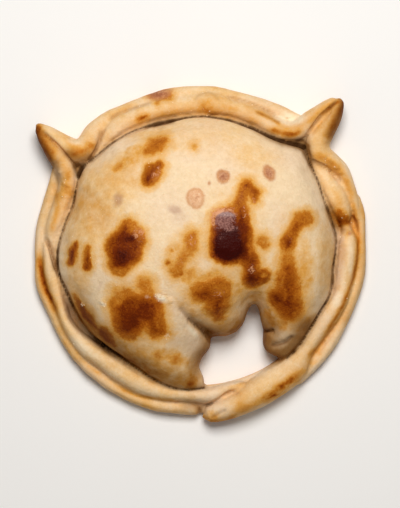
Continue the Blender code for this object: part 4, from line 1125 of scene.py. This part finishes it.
# the flat underside is browned evenly by the tray
colour = mixed(ranged(height_mm, 0.02, 0.3), underside, colour)
tree.links.new(colour, shader.inputs["Base Color"])
tree.links.new(ranged(kept("shine"), 0.1, 0.9, 0.66, 0.38), shader.inputs["Roughness"])
glossy = math_node("MULTIPLY", kept("shine"), ranged(kept("painted_sheen"), 0.0, 0.6, 0.03, 0.26))
tree.links.new(glossy, shader.inputs["Coat Weight"])
shader.inputs["Coat Roughness"].default_value = 0.22
grain = math_node("ADD", math_node("MULTIPLY", blotch, 0.5), math_node("MULTIPLY", speckle, 0.4))
grain = math_node("ADD", grain, math_node("MULTIPLY", wrinkle, math_node("MULTIPLY", kept("shine"), 1.2)))
bump = put(tree, "ShaderNodeBump", Height=grain, Strength=0.5, Distance=0.60 * MM)
tree.links.new(bump.outputs["Normal"], shader.inputs["Normal"])
shader.inputs["Subsurface Weight"].default_value = 0.03
shader.inputs["Subsurface Radius"].default_value = (0.0015, 0.0007, 0.0004)
shader.inputs["Subsurface Scale"].default_value = 1.0
shader.inputs["Specular IOR Level"].default_value = 0.06
crust.data.materials.clear()
crust.data.materials.append(dough_finish)
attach(crust, "root")
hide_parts("empanada")

# ---------------------------------------------------------------- crumbs and dry flakes
# Crumbs and flakes of dry dough that came off the rolled edge and stuck to the crust before it set.
# They are dough too, paler than the crust, and lie thickest round the left lobe's large mark.
CRUMB_RADIUS = (0.07, 0.24)
CRUMB_SEED = 11
# how many to the square centimetre in the thickest patches, and the patches, as above
CRUMBS_TO_CM2 = 260.0
CRUMB_PATCHES = [
    (-11.2, -13.0, 2.4, 1.1, -30, 1.00), (-15.4, -12.7, 0.6, 0.5, 0, 0.70), (-28.8, -14.6, 1.6, 0.6, -35, 0.80),
    (-34.9, -15.2, 0.5, 0.6, 0, 1.00), (-9.6, -24.2, 1.1, 0.7, 20, 0.60), (-30, 1, 8, 20, 0, 0.010),
    (38.4, 28.6, 4.0, 1.6, -40, 0.12), (0.0, 45.0, 24, 4.0, 0, 0.03), (-41.0, 20.0, 1.8, 6.0, 0, 0.06),
    (0, 24, 22, 8, 0, 0.010), (-34, -30, 9, 3, -40, 0.05), (16, -41, 10, 2.4, 30, 0.05), (44, 0, 3, 16, 0, 0.03),
]
CRUMB_COLOURS = (0.80, 0.52, 0.27), (0.97, 0.80, 0.54)

scatter = bpy.data.node_groups.new("scatter_crumbs", "GeometryNodeTree")
for name, kind in (("Crust", "NodeSocketGeometry"), ("Crumbs to a square metre", "NodeSocketFloat"),
                   ("Smallest", "NodeSocketFloat"), ("Largest", "NodeSocketFloat"),
                   ("Seed", "NodeSocketInt"), ("Material", "NodeSocketMaterial")):
    scatter.interface.new_socket(name, in_out="INPUT", socket_type=kind)
scatter.interface.new_socket("Crumbs", in_out="OUTPUT", socket_type="NodeSocketGeometry")
tree = scatter
given = put(tree, "NodeGroupInput").outputs
thickness = put(tree, "GeometryNodeInputNamedAttribute", data_type="FLOAT", Name="crumbs").outputs["Attribute"]
spread = put(tree, "GeometryNodeDistributePointsOnFaces", Mesh=given["Crust"], Seed=given["Seed"],
             Density=math_node("MULTIPLY", thickness, given["Crumbs to a square metre"]))
crumb = put(tree, "GeometryNodeMeshIcoSphere", Radius=1.0, Subdivisions=1)
size = put(tree, "FunctionNodeRandomValue", data_type="FLOAT_VECTOR", Seed=given["Seed"])
tree.links.new(given["Smallest"], size.inputs["Min"])
tree.links.new(given["Largest"], size.inputs["Max"])
turn = put(tree, "FunctionNodeRandomValue", data_type="FLOAT_VECTOR", Seed=given["Seed"])
turn.inputs["Max"].default_value = (math.tau, math.tau, math.tau)
placed = put(tree, "GeometryNodeInstanceOnPoints", Points=spread.outputs["Points"],
             Instance=crumb.outputs["Mesh"], Scale=size.outputs["Value"], Rotation=turn.outputs["Value"])
real = put(tree, "GeometryNodeRealizeInstances", Geometry=placed.outputs["Instances"])
finished = put(tree, "GeometryNodeSetMaterial", Geometry=real.outputs["Geometry"], Material=given["Material"])
put(tree, "NodeGroupOutput", Crumbs=finished.outputs["Geometry"])

crumb_finish, tree, shader = new_material("dry_crumbs")
coordinates = put(tree, "ShaderNodeTexCoord")
grains = put(tree, "ShaderNodeGroup", node_tree=dough_grain, Place=coordinates.outputs["Object"]).outputs
tree.links.new(mixed(ranged(grains["Blotch"], 0.35, 0.65), *CRUMB_COLOURS), shader.inputs["Base Color"])
tree.links.new(ranged(grains["Speckle"], 0.3, 0.7, 0.7, 0.95), shader.inputs["Roughness"])
rough = put(tree, "ShaderNodeBump", Height=grains["Speckle"], Strength=0.4, Distance=0.15 * MM)
tree.links.new(rough.outputs["Normal"], shader.inputs["Normal"])
shader.inputs["Specular IOR Level"].default_value = 0.1

crumbs = bpy.data.objects.new("crumbs", crust.data.copy())
bpy.context.collection.objects.link(crumbs)
thick = in_patches(places[:, :2], CRUMB_PATCHES) * ease(normals[:, 2], 0.1, 0.5)
paint(crumbs.data, "crumbs", thick)
strewn = crumbs.modifiers.new("strewn", "NODES")
strewn.node_group = scatter
inputs = {"Crumbs to a square metre": CRUMBS_TO_CM2 / (10 * MM) ** 2, "Smallest": CRUMB_RADIUS[0] * MM,
          "Largest": CRUMB_RADIUS[1] * MM, "Seed": CRUMB_SEED, "Material": crumb_finish}
for socket in scatter.interface.items_tree:
    if socket.name in inputs:
        strewn[socket.identifier] = inputs[socket.name]
bake_modifiers(crumbs)
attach(crumbs, "root")
